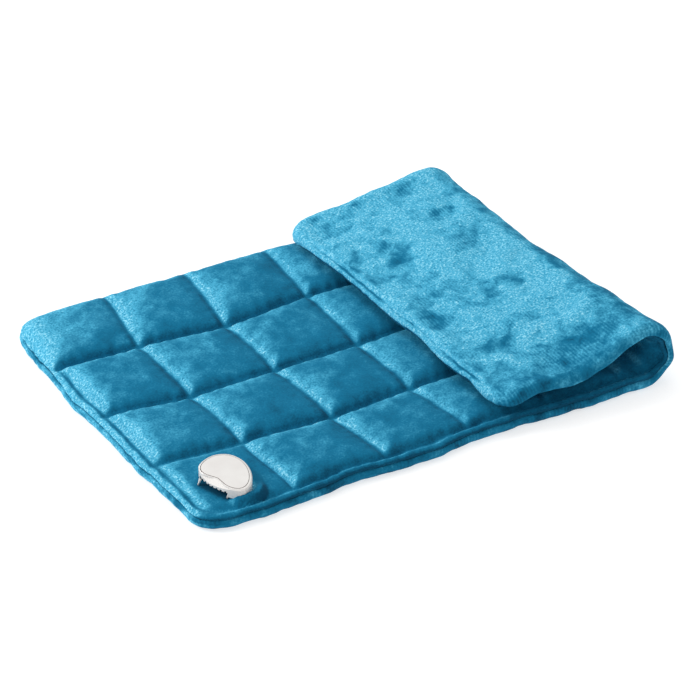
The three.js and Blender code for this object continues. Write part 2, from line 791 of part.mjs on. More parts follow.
// Contact block on the clamp plate's pedestal, with its pins towards the mouth
const contactYs = Array.from({ length: contactCount }, (_, i) => {
  return mouthMiddle + ((contactCount - 1) / 2 - i) * contactPitch;
});
const blockTop = socketHeight - socketRoof - layerGap;
const blockShape = new THREE.Shape([
  new THREE.Vector2(0, 0),
  new THREE.Vector2(blockWidth, 0),
  new THREE.Vector2(blockWidth, blockTop - layerGap - blockChamfer),
  new THREE.Vector2(blockWidth - blockChamfer, blockTop - layerGap),
  new THREE.Vector2(blockChamfer, blockTop - layerGap),
  new THREE.Vector2(0, blockTop - layerGap - blockChamfer),
]);
const blockBody = new THREE.ExtrudeGeometry(blockShape, { depth: blockLength, bevelEnabled: false });
blockBody.rotateX(Math.PI / 2);
blockBody.translate(blockFront, mouthMiddle + blockLength / 2, layerGap);
const contactBores = contactYs.map((y) => {
  const bore = capsule(blockWidth + 2 * cutOverrun, contactDiameter / 2 + layerGap, 0);
  bore.translate(blockFront + blockWidth / 2, y, contactHeight);
  return toSolid(bore);
});
add("contact_block", toGeometry(cut(toSolid(blockBody), ...contactBores)), darkPlastic, socket);

const contactFront = blockFront - contactReach;
const contactBack = blockFront + blockWidth + contactTail;
contactYs.forEach((y, i) => {
  const pin = capsule(contactBack - contactFront, contactDiameter / 2, contactDiameter / 4);
  pin.translate((contactFront + contactBack) / 2, y, contactHeight);
  add(`contact_pin_${i + 1}`, pin, brass, socket);
});

// Clamp plate under the cloth, drawn up to the housing by two screws
const clampTop = -coverThickness - clampGap;
const clampBottom = clampTop - clampThickness;
const clampBody = insetSlab(outline, clampInset, clampBottom, clampTop);
const pedestal = pedestalBox(0, [clampTop - clampThickness / 2, 0]);
const leadSlot = boxSolid(
  around(leadDrop, leadSlotWidth),
  around(mouthMiddle, leadSlotLength),
  [clampBottom - cutOverrun, cutOverrun],
);
const clampThrough = [clampBottom - cutOverrun, cutOverrun];
const clampBores = bossPlaces.map(([x, y]) => rodSolid(screwClearRadius, x, y, clampThrough));
const clampPlate = cut(clampBody.add(pedestal), leadSlot, ...clampBores);
add("socket_clamp_plate", toGeometry(clampPlate), whitePlastic, socket);

bossPlaces.forEach(([x, y], i) => {
  const headTop = clampBottom - layerGap;
  const screw = new THREE.LatheGeometry(
    [
      new THREE.Vector2(0, headTop - screwHeadHeight),
      new THREE.Vector2(screwHeadDiameter / 2, headTop - screwHeadHeight / 2),
      new THREE.Vector2(screwHeadDiameter / 2, headTop),
      new THREE.Vector2(screwDiameter / 2, headTop),
      new THREE.Vector2(screwDiameter / 2, screwReach - screwDiameter / 2),
      new THREE.Vector2(0, screwReach),
    ],
    roundSides,
  );
  screw.rotateX(Math.PI / 2);
  screw.translate(x, y, 0);
  add(`clamp_screw_${i + 1}`, screw, steel, socket);
});

// Leads from the contacts down through the clamp plate to the splices
contactYs.forEach((y, i) => {
  const leadZ = spliceDepth - seatDepth;
  const toPad = (x, across, z) => socket.localToWorld(new THREE.Vector3(x, across, z));
  const spliceY = spliceYs[Math.floor(i / 2)] + (i % 2 === 0 ? leadSpacing : -leadSpacing) / 2;
  const end = new THREE.Vector3(spliceX[0] - layerGap - footprintMiddle, spliceY, spliceDepth);
  const corners = [
    toPad(contactBack + layerGap, y, contactHeight),
    toPad(leadDrop, y, contactHeight),
    toPad(leadDrop, y, leadZ),
    end.clone().setX(end.x - leadBend),
    end,
  ];
  const path = roundedPath(corners, leadBend);
  const facings = path.map(() => new THREE.Vector3(-Math.sin(socketTurn), Math.cos(socketTurn), 0));
  add(`lead_wire_${i + 1}`, wire(path, facings, leadDiameter / 2), insulation);
});

// The two axes, along Y, that the fold opens about: each on the middle plane, a reach past an end of the arc,
// where the fold is widest, at the near hem, so that the whole flap can come down to the ground
const axisTurn = foldAt(axisY).turn;
const flapDirection = new THREE.Vector3(Math.cos(axisTurn), 0, Math.sin(axisTurn));
group.userData.foldAxes = [
  place(foldStart, axisY, middleDepth).add(new THREE.Vector3(foldHingeReach, 0, 0)),
  place(foldEnd, axisY, middleDepth).addScaledVector(flapDirection, -foldHingeReach),
].map((axis) => axis.setY(0));

export default group;
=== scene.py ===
# Looks of a folded plush heating pad: quilted face, plain back, and the white socket in one corner.
# Metres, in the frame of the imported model: X along the pad to the fold, Y across it, Z up.
# A place in the cloth is given as s along the pad from its flat end, y across it, and a depth through it
# that starts at the plain back face.

import json
import math

import bpy
import numpy as np
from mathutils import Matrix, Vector


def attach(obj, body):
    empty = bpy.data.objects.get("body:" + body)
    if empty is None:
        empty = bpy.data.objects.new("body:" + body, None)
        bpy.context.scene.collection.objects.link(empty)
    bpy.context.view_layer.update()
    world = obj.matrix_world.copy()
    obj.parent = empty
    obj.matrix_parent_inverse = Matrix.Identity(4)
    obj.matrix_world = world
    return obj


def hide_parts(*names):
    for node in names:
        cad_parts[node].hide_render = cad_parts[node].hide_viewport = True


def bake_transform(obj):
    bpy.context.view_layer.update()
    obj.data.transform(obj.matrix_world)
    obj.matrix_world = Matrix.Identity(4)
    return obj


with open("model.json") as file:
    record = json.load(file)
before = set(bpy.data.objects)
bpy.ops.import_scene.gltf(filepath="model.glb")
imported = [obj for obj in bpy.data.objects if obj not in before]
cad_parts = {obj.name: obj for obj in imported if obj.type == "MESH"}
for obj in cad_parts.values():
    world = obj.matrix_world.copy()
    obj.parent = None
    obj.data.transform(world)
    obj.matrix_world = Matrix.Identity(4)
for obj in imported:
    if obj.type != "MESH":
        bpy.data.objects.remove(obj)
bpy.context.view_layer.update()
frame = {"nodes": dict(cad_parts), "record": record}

# Sizes of the pad and of its fold, as the model has them
CELLS_ALONG = 8
CELLS_ACROSS = 4
CELL_LENGTH = 0.073
CELL_WIDTH = 0.0765
HEM = 0.006
HEM_ROUND = 0.0016
CORNER = 0.024
CROWN = 0.0175
SEAM = 0.0102
SEAT = 0.013
COVER = 0.003
HEM_TOP = 0.0119
FOLD_START = 0.391
FOLD_CLOTH = 0.069
FOLD_INNER = 0.00525
NEAR_SWELL = 0.00475
NEAR_SWELL_POWER = 2
FAR_SWELL = 0.0018
FAR_SWELL_POWER = 6
FOLD_DRAW = 0.0084
FOLD_DRAW_REACH = 0.093
FOLD_LEAN_SHARE = 1.5
FOLD_ROUNDS = 20
FLAP_FREE_EDGE = 0.256
FREE_HEM_GAP = 0.001
DROOP = 0.008
DROOP_PLACE = 0.056
PAD_LENGTH = CELLS_ALONG * CELL_LENGTH + 2 * HEM
PAD_WIDTH = CELLS_ACROSS * CELL_WIDTH + 2 * HEM
HALF_WIDTH = PAD_WIDTH / 2
MIDDLE = CROWN / 2
FOLD_END = FOLD_START + FOLD_CLOTH


def smooth(value, low, high):
    """Rises smoothly from zero to one between two values."""
    share = np.clip((value - low) / (high - low), 0, 1)
    return share * share * (3 - 2 * share)


def bell(value, middle, reach):
    """One at the middle, falling to zero at about twice the reach from it."""
    return np.exp(-(((value - middle) / reach) ** 2))


def fold_at(y):
    """The fold's foot, outer and middle radius, length of flap and turn at places across the pad."""
    across = np.clip(y / PAD_WIDTH + 0.5, 0, 1)
    swell = NEAR_SWELL * (1 - across) ** NEAR_SWELL_POWER + FAR_SWELL * across**FAR_SWELL_POWER
    foot = FOLD_START - FOLD_DRAW + FOLD_LEAN_SHARE * swell
    outer = FOLD_INNER + CROWN + swell
    radius = outer - MIDDLE
    slope = np.zeros_like(across)
    for _ in range(FOLD_ROUNDS):
        drop = outer + (radius - HEM_TOP + MIDDLE) * np.cos(slope) - CROWN - FREE_HEM_GAP
        length = (foot - radius * np.sin(slope) - FLAP_FREE_EDGE) / np.cos(slope)
        slope = np.arcsin(drop / length)
    return foot, outer, radius, length, np.pi + slope


NEAR_FOLD = fold_at(np.array([HEM_ROUND - HALF_WIDTH]))
FOOTPRINT_MIDDLE = float(NEAR_FOLD[0][0] + NEAR_FOLD[1][0]) / 2


def place(s, y, depth):
    """Where places in the cloth are laid: flat up to the fold, round its arc, then along the flap."""
    foot, outer, radius, length, full = fold_at(y)
    drawn = np.clip(1 + (s - FOLD_START) / FOLD_DRAW_REACH, 0, 1) ** 2
    before = np.minimum(s, FOLD_START) - (FOLD_START - foot) * drawn
    turn = np.clip((s - FOLD_START) / FOLD_CLOTH, 0, 1) * full
    past = np.maximum(s - FOLD_END, 0) * length / (PAD_LENGTH - FOLD_END)
    reach = radius - (depth - MIDDLE)
    x = before + reach * np.sin(turn) + past * np.cos(turn)
    z = outer - reach * np.cos(turn) + past * np.sin(turn)
    along = np.clip((s - FOLD_END) / DROOP_PLACE - 1, -1, 1)
    across = np.clip(1 - (y + HALF_WIDTH) / (HEM + CELL_WIDTH), 0, 1)
    z = z - DROOP * across * np.cos(along * np.pi / 2) ** 2
    return np.stack([x - FOOTPRINT_MIDDLE, y, z], -1)


def in_cells(s, y):
    """Places counted in quilted cells, along and across."""
    return (s - HEM) / CELL_LENGTH, (y + HALF_WIDTH - HEM) / CELL_WIDTH


def from_seams(s, y):
    """How far places are from the nearest seam across the pad, and from the nearest one along it."""
    along, across = in_cells(s, y)
    da = np.abs(along - np.clip(np.round(along), 1, CELLS_ALONG - 1)) * CELL_LENGTH
    db = np.abs(across - np.clip(np.round(across), 1, CELLS_ACROSS - 1)) * CELL_WIDTH
    return da, db


# Smooth noise over the cloth, the same on every run
NOISE_LATTICE = (97, 89)


def noise(u, v, size, seed):
    lattice = np.random.default_rng(seed).uniform(-1, 1, NOISE_LATTICE)
    gu, gv = u / size, v / size
    iu, iv = np.floor(gu).astype(int), np.floor(gv).astype(int)
    fu, fv = gu - iu, gv - iv
    fu, fv = fu * fu * (3 - 2 * fu), fv * fv * (3 - 2 * fv)

    def value(a, b):
        return lattice[a % NOISE_LATTICE[0], b % NOISE_LATTICE[1]]

    low = value(iu, iv) * (1 - fu) + value(iu + 1, iv) * fu
    high = value(iu, iv + 1) * (1 - fu) + value(iu + 1, iv + 1) * fu
    return low * (1 - fv) + high * fv


def roughened(s, y, table):
    """Several noises in one, from rows of height, size and seed."""
    return sum(height * noise(s, y, size, seed) for height, size, seed in table)


# In-plane drift of the quilting, in millimetres, at the crossings of its seams, from the flat end on
SEAM_DRIFT = {
    (0, 3): (0, 5),
    (0, 2): (0, 4),
    (0, 1): (2, 2),
    (1, 4): (5, 0),
    (1, 3): (-4, 2),
    (1, 2): (-3, -5),
    (1, 1): (0, -3),
    (1, 0): (4, 0),
    (2, 4): (4, 0),
    (2, 3): (-4, -5),
    (2, 2): (-3, -5),
    (2, 1): (1, -8),
    (2, 0): (8, 1),
    (3, 4): (6, 0),
    (3, 3): (1, 2),
    (3, 2): (-2, -5),
    (3, 1): (0, -4),
    (3, 0): (8, 5),
    (4, 0): (5, 5),
    (5, 0): (0, 2),
    (4, 1): (1, -3),
    (4, 2): (0, -2),
    (8, 4): (5, 0),
    (8, 3): (3, 0),
}
MILLIMETRES = 1000


def drift_tables():
    along = np.zeros((CELLS_ALONG + 1, CELLS_ACROSS + 1))
    across = np.zeros((CELLS_ALONG + 1, CELLS_ACROSS + 1))
    for (i, j), (ds, dy) in SEAM_DRIFT.items():
        along[i, j], across[i, j] = ds / MILLIMETRES, dy / MILLIMETRES
    return along, across


DRIFT_ALONG, DRIFT_ACROSS = drift_tables()

# Where an edge stands out, or in where negative: middle along the edge, reach, and how far
NEAR_BUMPS = (
    (0.058, 0.02, 0.0035),
    (0.122, 0.022, -0.0024),
    (0.205, 0.032, 0.0045),
    (0.308, 0.036, 0.005),
    (0.39, 0.03, 0.0035),
)
FAR_BUMPS = (
    (0.042, 0.026, 0.006),
    (0.118, 0.03, 0.004),
    (0.21, 0.045, 0.004),
    (0.575, 0.042, 0.005),
)
START_BUMPS = (
    (0.14, 0.024, -0.004),
    (0.042, 0.02, 0.0025),
    (-0.055, 0.032, 0.0028),
)

# How far in from an edge its shape is felt, and how high its waves are
EDGE_REACH = 0.02
EDGE_WAVE = 0.0018

# Waves of the edges: size and seed of the long ones, then of the short ones, which are half as high
NEAR_WAVES = ((0.031, 21), (0.013, 22))
FAR_WAVES = ((0.036, 23), (0.015, 24))
START_WAVES = ((0.033, 25), (0.014, 26))
END_WAVES = ((0.041, 27), (0.016, 28))

# Fuzz of the edges and gathers round the fold: how far, size and seed
SIDE_FUZZ = (0.0004, 0.0047, 29)
END_FUZZ = (0.0005, 0.0049, 30)
GATHERS = (0.0012, 0.011, 31)


def bumps(along, table):
    return sum(out * bell(along, middle, reach) for middle, reach, out in table)


def waves(u, v, table):
    (long_size, long_seed), (short_size, short_seed) = table
    return EDGE_WAVE * (noise(u, v, long_size, long_seed) + 0.5 * noise(u, v, short_size, short_seed))


def round_fold(s, fading):
    """One on the cloth that goes round the fold, fading out beside it."""
    rising = smooth(s, FOLD_START - 0.02, FOLD_START + 0.01)
    return rising * (1 - smooth(s, FOLD_END - 0.01, FOLD_END + fading))


def drift(s, y):
    """In-plane shift of the cloth at a grid of places, and the waves of its edges."""
    along, across = in_cells(s, y)
    u, v = np.clip(along, 0, CELLS_ALONG - 1e-6), np.clip(across, 0, CELLS_ACROSS - 1e-6)
    iu, iv = u.astype(int), v.astype(int)
    fu, fv = u - iu, v - iv
    fu, fv = fu * fu * (3 - 2 * fu), fv * fv * (3 - 2 * fv)
    ds, dy = np.zeros_like(s), np.zeros_like(y)
    for table, out in ((DRIFT_ALONG, ds), (DRIFT_ACROSS, dy)):
        low = table[iu, iv] * (1 - fu) + table[iu + 1, iv] * fu
        high = table[iu, iv + 1] * (1 - fu) + table[iu + 1, iv + 1] * fu
        out += low * (1 - fv) + high * fv
    near, far = np.exp(-(y + HALF_WIDTH) / EDGE_REACH), np.exp(-(HALF_WIDTH - y) / EDGE_REACH)
    start, end = np.exp(-s / EDGE_REACH), np.exp(-(PAD_LENGTH - s) / EDGE_REACH)
    dy += near * (waves(s, 0 * s, NEAR_WAVES) - bumps(s, NEAR_BUMPS))
    dy += far * (waves(s, 0 * s, FAR_WAVES) + bumps(s, FAR_BUMPS))
    ds += start * (waves(0 * y, y, START_WAVES) - bumps(y, START_BUMPS))
    ds += end * waves(0 * y, y, END_WAVES)
    ds += (start + end) * roughened(s, y, (END_FUZZ,))
    gathered = round_fold(s, 0.02) * roughened(s, 0 * s, (GATHERS,))
    dy += (near + far) * (roughened(s, y, (SIDE_FUZZ,)) + gathered)
    return ds, dy


# Hem: where its stations are counted from the edge, and how the quilted and the plain cover roll over there
HEM_PLACES = [0, 0.0003, 0.0006, 0.0009, 0.0012, 0.0016, 0.0024, 0.0036, 0.005, 0.0065, 0.008]
HEM_INSETS = [0.002, 0.0009, 0.00025, 0, 0.0002, 0.0009, 0.0021, 0.0036, 0.005, 0.0065, 0.008]
QUILT_HEM = [0.0078, 0.0081, 0.0089, 0.0099, 0.0107, 0.0113, 0.0119, 0.0121, 0.0114, 0.0103, 0.0108]
PLAIN_HEM = [0.0082, 0.0077, 0.0066, 0.0050, 0.0036, 0.0022, 0.0009, 0.0003, 0.0001, 0.0001, 0.0004]
QUILT_FLAP_HEM = [0.0068, 0.0076, 0.0087, 0.0096, 0.0102, 0.0107, 0.0112, 0.0112, 0.0108, 0.0104, 0.0108]
PLAIN_FLAP_HEM = [0.0086, 0.0085, 0.0082, 0.0078]
QUILT_FREE_HEM = [0.0045, 0.0049, 0.0063, 0.0082, 0.0096, 0.0105, 0.0111, 0.0112, 0.0108, 0.0104, 0.0108]
OUTERMOST = HEM_PLACES[3]
HEM_INSIDE = HEM_PLACES[-2]
HEM_REACH = HEM_PLACES[-1]
FREE_LIP_SHARE = 0.55
QUILT_INSET = 0.0015
QUILT_FLAP_INSET = 0.003
FLAP_ROLL = 0.011
ONTO_FLAP = (FOLD_START - 0.01, FOLD_START + 0.045)
FREE_END = (PAD_LENGTH - 0.03, PAD_LENGTH - 0.012)
FREE_END_SIDE = (0.11, 0.14)


def flapness(s):
    """Zero on the flat part and one on the flap, where the plain cover's hem rolls over the quilted one."""
    return smooth(s, *ONTO_FLAP)


def free_end(s, y):
    """One at the flap's free edge between its rounded corners."""
    return smooth(s, *FREE_END) * (1 - smooth(np.abs(y), *FREE_END_SIDE))


def stations(start, end, step, first=(), last=()):
    """Evenly spaced places from start to end, with closer ones counted in from either end."""
    low = [start + value for value in first] or [start]
    high = [end - value for value in reversed(last)] or [end]
    count = max(int(round((high[0] - low[-1]) / step)), 1)
    middle = [low[-1] + (high[0] - low[-1]) * i / count for i in range(1, count)]
    return np.array(low + middle + high)


class Grid:
    """Places in the cloth on rows along the pad and columns across it, drawn in where its corners round."""

    def __init__(self, rows, columns):
        a, b = np.meshgrid(rows, columns, indexing="ij")
        v = np.clip((np.abs(b) - HALF_WIDTH + CORNER) / CORNER, 0, 1)
        u = np.clip(1 - np.minimum(a, PAD_LENGTH - a) / CORNER, 0, 1)
        round_u, round_v = u * np.sqrt(1 - v**2 / 2), v * np.sqrt(1 - u**2 / 2)
        corner = (u > 0) & (v > 0)
        end = np.where(a < PAD_LENGTH / 2, 0, PAD_LENGTH)
        out = np.where(a < PAD_LENGTH / 2, -1, 1)
        self.s = np.where(corner, end - out * CORNER * (1 - round_u), a)
        self.y = np.where(corner, np.sign(b) * (HALF_WIDTH - CORNER * (1 - round_v)), b)
        reach = np.hypot(round_u, round_v)
        side = np.minimum(np.minimum(a, PAD_LENGTH - a), HALF_WIDTH - np.abs(b))
        self.edge = np.where(corner, CORNER * (1 - reach), side)
        along = np.minimum(a, PAD_LENGTH - a) <= HALF_WIDTH - np.abs(b)
        safe = np.maximum(reach, 1e-9)
        self.out_s = np.where(corner, out * round_u / safe, np.where(along, out, 0))
        self.out_y = np.where(corner, np.sign(b) * round_v / safe, np.where(along, 0, np.sign(b)))

    def tuck(self):
        """How far the quilted cover's hem sits in from the plain one's."""
        on_flap = flapness(self.s)
        tucked = QUILT_INSET * (1 - on_flap) + QUILT_FLAP_INSET * on_flap
        return tucked * np.clip(1 - self.edge / HEM_REACH, 0, 1)

    def moved(self, shift, depth):
        """Places moved outwards by a shift and by the drift, and where they sit at a depth."""
        ds, dy = drift(self.s, self.y)
        s = self.s + self.out_s * shift + ds
        y = self.y + self.out_y * shift + dy
        return s, y, place(s, y, depth)

    def laid(self, depth, tucked):
        """A cover's outer face at a depth, with the hem's roll."""
        inset = np.interp(self.edge, HEM_PLACES, HEM_INSETS)
        shift = np.where(self.edge < HEM_REACH, self.edge - inset, 0)
        if tucked:
            shift = shift - self.tuck()
        return self.moved(shift, depth)


# Quilting: how far each place puffs up over the seams, by a cloth simulation of the sewn sheet
SIM_CELL = (15, 16)
SIM_SCALE = 10
SIM_FRAMES = 20
SIM_LIFT = 0.02
SIM_UNEVEN = (0.01, 0.21, 5)
SIM_SETTINGS = {
    "quality": 6,
    "mass": 0.3,
    "tension_stiffness": 15,
    "compression_stiffness": 15,
    "shear_stiffness": 5,
    "bending_stiffness": 0.2,
    "vertex_group_mass": "held",
    "use_pressure": True,
    "uniform_pressure_force": 6,
    "shrink_min": -0.015,
}


def formula_puff(along, across):
    def arch(value):
        return 1 - np.abs(2 * (value - np.floor(value)) - 1) ** 3

    return arch(along) * arch(across)


def is_seat(along, across):
    return (along < 1) & (across < 1)


def grid_faces(rows, columns):
    index = np.arange(rows * columns).reshape(rows, columns)
    corners = (index[:-1, :-1], index[1:, :-1], index[1:, 1:], index[:-1, 1:])
    return np.stack(corners, -1).reshape(-1, 4)


def sewn_sheet():
    """The sheet before it is blown up, held along its seams and at the seat, and how many points it has."""
    a = np.arange(CELLS_ALONG * SIM_CELL[0] + 1) / SIM_CELL[0]
    b = np.arange(CELLS_ACROSS * SIM_CELL[1] + 1) / SIM_CELL[1]
    along, across = np.meshgrid(a, b, indexing="ij")
    x, y = along * CELL_LENGTH * SIM_SCALE, across * CELL_WIDTH * SIM_SCALE
    start = formula_puff(along, across)
    seat = is_seat(along, across)
    lift = SIM_LIFT * start + roughened(along, across, (SIM_UNEVEN,)) * start
    lift = np.where(seat, 0, lift)
    points = np.stack([x, y, lift], -1).reshape(-1, 3)
    mesh = bpy.data.meshes.new("sewn_sheet")
    mesh.from_pydata(points.tolist(), [], grid_faces(*along.shape).tolist())
    sheet = bpy.data.objects.new("sewn_sheet", mesh)
    bpy.context.scene.collection.objects.link(sheet)
    on_seam = (np.abs(along - np.round(along)) < 1e-6) | (np.abs(across - np.round(across)) < 1e-6)
    held = np.flatnonzero((on_seam | seat).reshape(-1))
    sheet.vertex_groups.new(name="held").add(held.tolist(), 1, "REPLACE")
    return sheet, along.shape


def simulated_puff():
    """Blows up a sheet that is held along its seams, and gives how high each place of it rose."""
    sheet, shape = sewn_sheet()
    cloth = sheet.modifiers.new("cloth", "CLOTH")
    for key, value in SIM_SETTINGS.items():
        setattr(cloth.settings, key, value)
    cloth.settings.effector_weights.gravity = 0
    cloth.collision_settings.use_collision = False
    cloth.point_cache.frame_start = 1
    cloth.point_cache.frame_end = SIM_FRAMES
    scene = bpy.context.scene
    for number in range(1, SIM_FRAMES + 1):
        scene.frame_set(number)
    blown = sheet.evaluated_get(bpy.context.evaluated_depsgraph_get()).data
    points = np.empty(len(blown.vertices) * 3, np.float32)
    blown.vertices.foreach_get("co", points)
    scene.frame_set(1)
    bpy.data.objects.remove(sheet)
    return points.reshape(*shape, 3)[:, :, 2].astype(float) / SIM_SCALE


def bicubic(table, u, v):
    """Smooth values of a table at places counted in its steps."""
    iu = np.clip(np.floor(u).astype(int), 0, table.shape[0] - 2)
    iv = np.clip(np.floor(v).astype(int), 0, table.shape[1] - 2)

    def shares(t):
        return (
            (-t + 2 * t**2 - t**3) / 2,
            (2 - 5 * t**2 + 3 * t**3) / 2,
            (t + 4 * t**2 - 3 * t**3) / 2,
            (-(t**2) + t**3) / 2,
        )

    total = np.zeros_like(u)
    for i, wu in enumerate(shares(u - iu)):
        for j, wv in enumerate(shares(v - iv)):
            rows = np.clip(iu + i - 1, 0, table.shape[0] - 1)
            columns = np.clip(iv + j - 1, 0, table.shape[1] - 1)
            total += wu * wv * table[rows, columns]
    return total


CROWN_PERCENT = 98
CROWN_POWER = 2.0
SEAT_POWER = 10
SLACK_SHARE = 0.42
SLACK_NOISE = (0.12, 0.031, 7)
SLACK_REACH = (0.012, 0.011)
SEAM_REACH = (0.0022, 0.003)
CROSS_SEAM_SHARE = 0.35


class Quilting:
    """The crowned cells of the quilted cover, at any place."""

    def __init__(self):
        self.blown = simulated_puff()
        if self.blown is not None:
            top = np.percentile(self.blown, CROWN_PERCENT)
            self.blown = self.blown * (CROWN - SEAM) / top

    def puff(self, s, y):
        """How high a place stands over the seams."""
        along, across = in_cells(s, y)
        along, across = np.clip(along, 0, CELLS_ALONG), np.clip(across, 0, CELLS_ACROSS)
        if self.blown is None:
            height = (CROWN - SEAM) * formula_puff(along, across)
        else:
            risen = bicubic(self.blown, along * SIM_CELL[0], across * SIM_CELL[1])
            share = 1 - (1 - np.clip(risen / (CROWN - SEAM), 0, 1)) ** CROWN_POWER
            height = (CROWN - SEAM) * (share + (1 - share) * self.slack(s, y))
        flat_a = 1 - np.abs(2 * along - 1) ** SEAT_POWER
        flat_b = 1 - np.abs(2 * across - 1) ** SEAT_POWER
        level = (SEAT - SEAM) * np.clip(flat_a, 0, 1) * np.clip(flat_b, 0, 1)
        return np.where(is_seat(along, across), level, height)

    def slack(self, s, y):
        """The share by which seams across the pad pull down less than the others, away from crossings."""
        da, db = from_seams(s, y)
        loose = SLACK_SHARE + roughened(s, y, (SLACK_NOISE,))
        return loose * bell(da, 0, SLACK_REACH[0]) * (1 - bell(db, 0, SLACK_REACH[1]))

    def seams(self, s, y):
        """One along the middle of a seam, falling to zero beside it. Seams across the pad are softer."""
        da, db = from_seams(s, y)
        return np.maximum(bell(db, 0, SEAM_REACH[0]), CROSS_SEAM_SHARE * bell(da, 0, SEAM_REACH[1]))


quilting = Quilting()

# Socket, in its own axes: u away from its mouth, v along it
SOCKET_AT = (0.044, -0.1248)
SOCKET_HALF = (0.018, 0.027)
SOCKET_TURN = math.radians(14)
MOUTH_ENDS = ((-0.0163, 0.0145), (-0.0128, -0.0128))
# Where the shadow under the mouth's lip is painted onto the cloth: its line, its lean, its reach and its
# fade at the ends
MOUTH_LINE = -0.0145
MOUTH_LEAN_SHARE = 0.1
MOUTH_REACH = 0.004
MOUTH_FADE = 0.003

# Pile that stands up against the socket: its height over the seat and how much more at the near end,
# the way it stands, and where, in shares of the socket's half sizes
PILE_HEIGHT = 0.0015
PILE_NEAR_HEIGHT = 0.004
PILE_WAY = (0.35, -0.95)
PILE_SIDE_SHARES = (0.2, 0.5)
PILE_INNER_SHARES = (0.7, 0.9)
PILE_OUTER_SHARES = (1.05, 1.2)
PILE_NEAR_SHARES = (0.5, 0.95)
RING_LEAST = 0.1


def in_socket_axes(s, y):
    """Places counted from the socket's middle, along its own turned axes."""
    ds, dy = s - SOCKET_AT[0], y - SOCKET_AT[1]
    cos, sin = math.cos(SOCKET_TURN), math.sin(SOCKET_TURN)
    return ds * cos + dy * sin, dy * cos - ds * sin


def beside_socket(s, y):
    """The share by which pile stands up against the socket, and its height there over the seat."""
    u, v = in_socket_axes(s, y)
    u, v = u / SOCKET_HALF[0], v / SOCKET_HALF[1]
    ring = np.hypot(u, v)
    u, v = u / np.maximum(ring, RING_LEAST), v / np.maximum(ring, RING_LEAST)
    around = smooth(ring, *PILE_INNER_SHARES) * (1 - smooth(ring, *PILE_OUTER_SHARES))
    share = smooth(PILE_WAY[0] * u + PILE_WAY[1] * v, *PILE_SIDE_SHARES) * around
    return share, PILE_HEIGHT + PILE_NEAR_HEIGHT * smooth(-v, *PILE_NEAR_SHARES)


def raise_pile_at_socket(depth, s, y):
    ds, dy = drift(s, y)
    share, height = beside_socket(s + ds, y + dy)
    return depth + share * (SEAT + height - depth)


def under_lip_painted_shadow(s, y):
    """One on the cloth before the socket's mouth and under its lip, where the shadow under the lip is
    painted dark into the pile.
    """
    u, v = in_socket_axes(s, y)
    (_, far), (_, near) = MOUTH_ENDS
    within = smooth(v, near - MOUTH_FADE, near) * (1 - smooth(v, far, far + MOUTH_FADE))
    return bell(u, MOUTH_LINE - MOUTH_LEAN_SHARE * v, MOUTH_REACH) * within


# Quilted cover: rows of noise are height, size and seed
GROOVE = 0.0012
GROOVE_FROM_EDGE = 0.003
HEM_STEP = 0.0001
HEM_RISE = 0.006
LEFT_END = (0.012, 0.04)
LEFT_HEM_SHARE = 0.3
FAR_CORNER = (0.06, 0.085)
FAR_ROW = (0.08, 0.11)
FAR_ROW_END = (0.19, 0.225)
PLUMP_SHARE = 0.2
OPEN_SIDE = (0.095, 0.13)
OPEN_END = (0.03, 0.06)
OPEN_ROUND = 0.012
QUILT_NAP = ((0.0004, 0.013, 1), (0.0002, 0.006, 2))
QUILT_HEM_NAP = (0.0003, 0.0045, 6)
QUILT_HEM_NAP_END = (0.006, 0.012)
RUMPLE = (0.0022, 0.013, 3)
RUMPLE_SINK = 0.0012
NAP_FROM_EDGE = 0.002
NAP_LEAST_SHARE = 0.2


def napped(depth, nap_and_painted_light, edge):
    """A surface roughened by its pile, less so at its very edge."""
    return depth + nap_and_painted_light * np.clip(edge / NAP_FROM_EDGE, NAP_LEAST_SHARE, 1)


def quilt_depth(grid):
    s, y, edge = grid.s, grid.y, grid.edge
    on_flap = flapness(s)
    left = (1 - smooth(s, *LEFT_END)) * (1 - smooth(y, *FAR_CORNER))
    place_in = edge * (1 - LEFT_HEM_SHARE * left)
    lip = free_end(s, y)
    flap_hem = np.interp(place_in, HEM_PLACES, QUILT_FLAP_HEM) * (1 - lip)
    flap_hem = flap_hem + np.interp(place_in, HEM_PLACES, QUILT_FREE_HEM) * lip
    hem = np.interp(place_in, HEM_PLACES, QUILT_HEM) * (1 - on_flap) + flap_hem * on_flap
    inner = np.clip((place_in - HEM_INSIDE) / HEM_RISE, 0, 1)
    before_flap = 1 - smooth(s, *FAR_ROW_END)
    puff = quilting.puff(s, y) * inner * (2 - inner)
    puff = puff * (1 + PLUMP_SHARE * smooth(y, *FAR_ROW) * before_flap)
    depth = np.where(place_in < HEM_INSIDE, hem, SEAM + HEM_STEP + puff)
    plump, open_hem = plump_edge(s, y, edge, hem, 1 + PLUMP_SHARE * before_flap)
    depth = depth * (1 - open_hem) + plump * open_hem
    sewn = np.clip((edge - GROOVE_FROM_EDGE) / GROOVE_FROM_EDGE, 0, 1)
    depth = depth - GROOVE * quilting.seams(s, y) * sewn
    nap_and_painted_light = roughened(s, y, QUILT_NAP)
    nap_and_painted_light = nap_and_painted_light + roughened(s, y, (QUILT_HEM_NAP,)) * (1 - smooth(edge, *QUILT_HEM_NAP_END))
    depth = depth + round_fold(s, 0.03) * (roughened(s, y, (RUMPLE,)) - RUMPLE_SINK)
    return napped(raise_pile_at_socket(depth, s, y), nap_and_painted_light, edge)


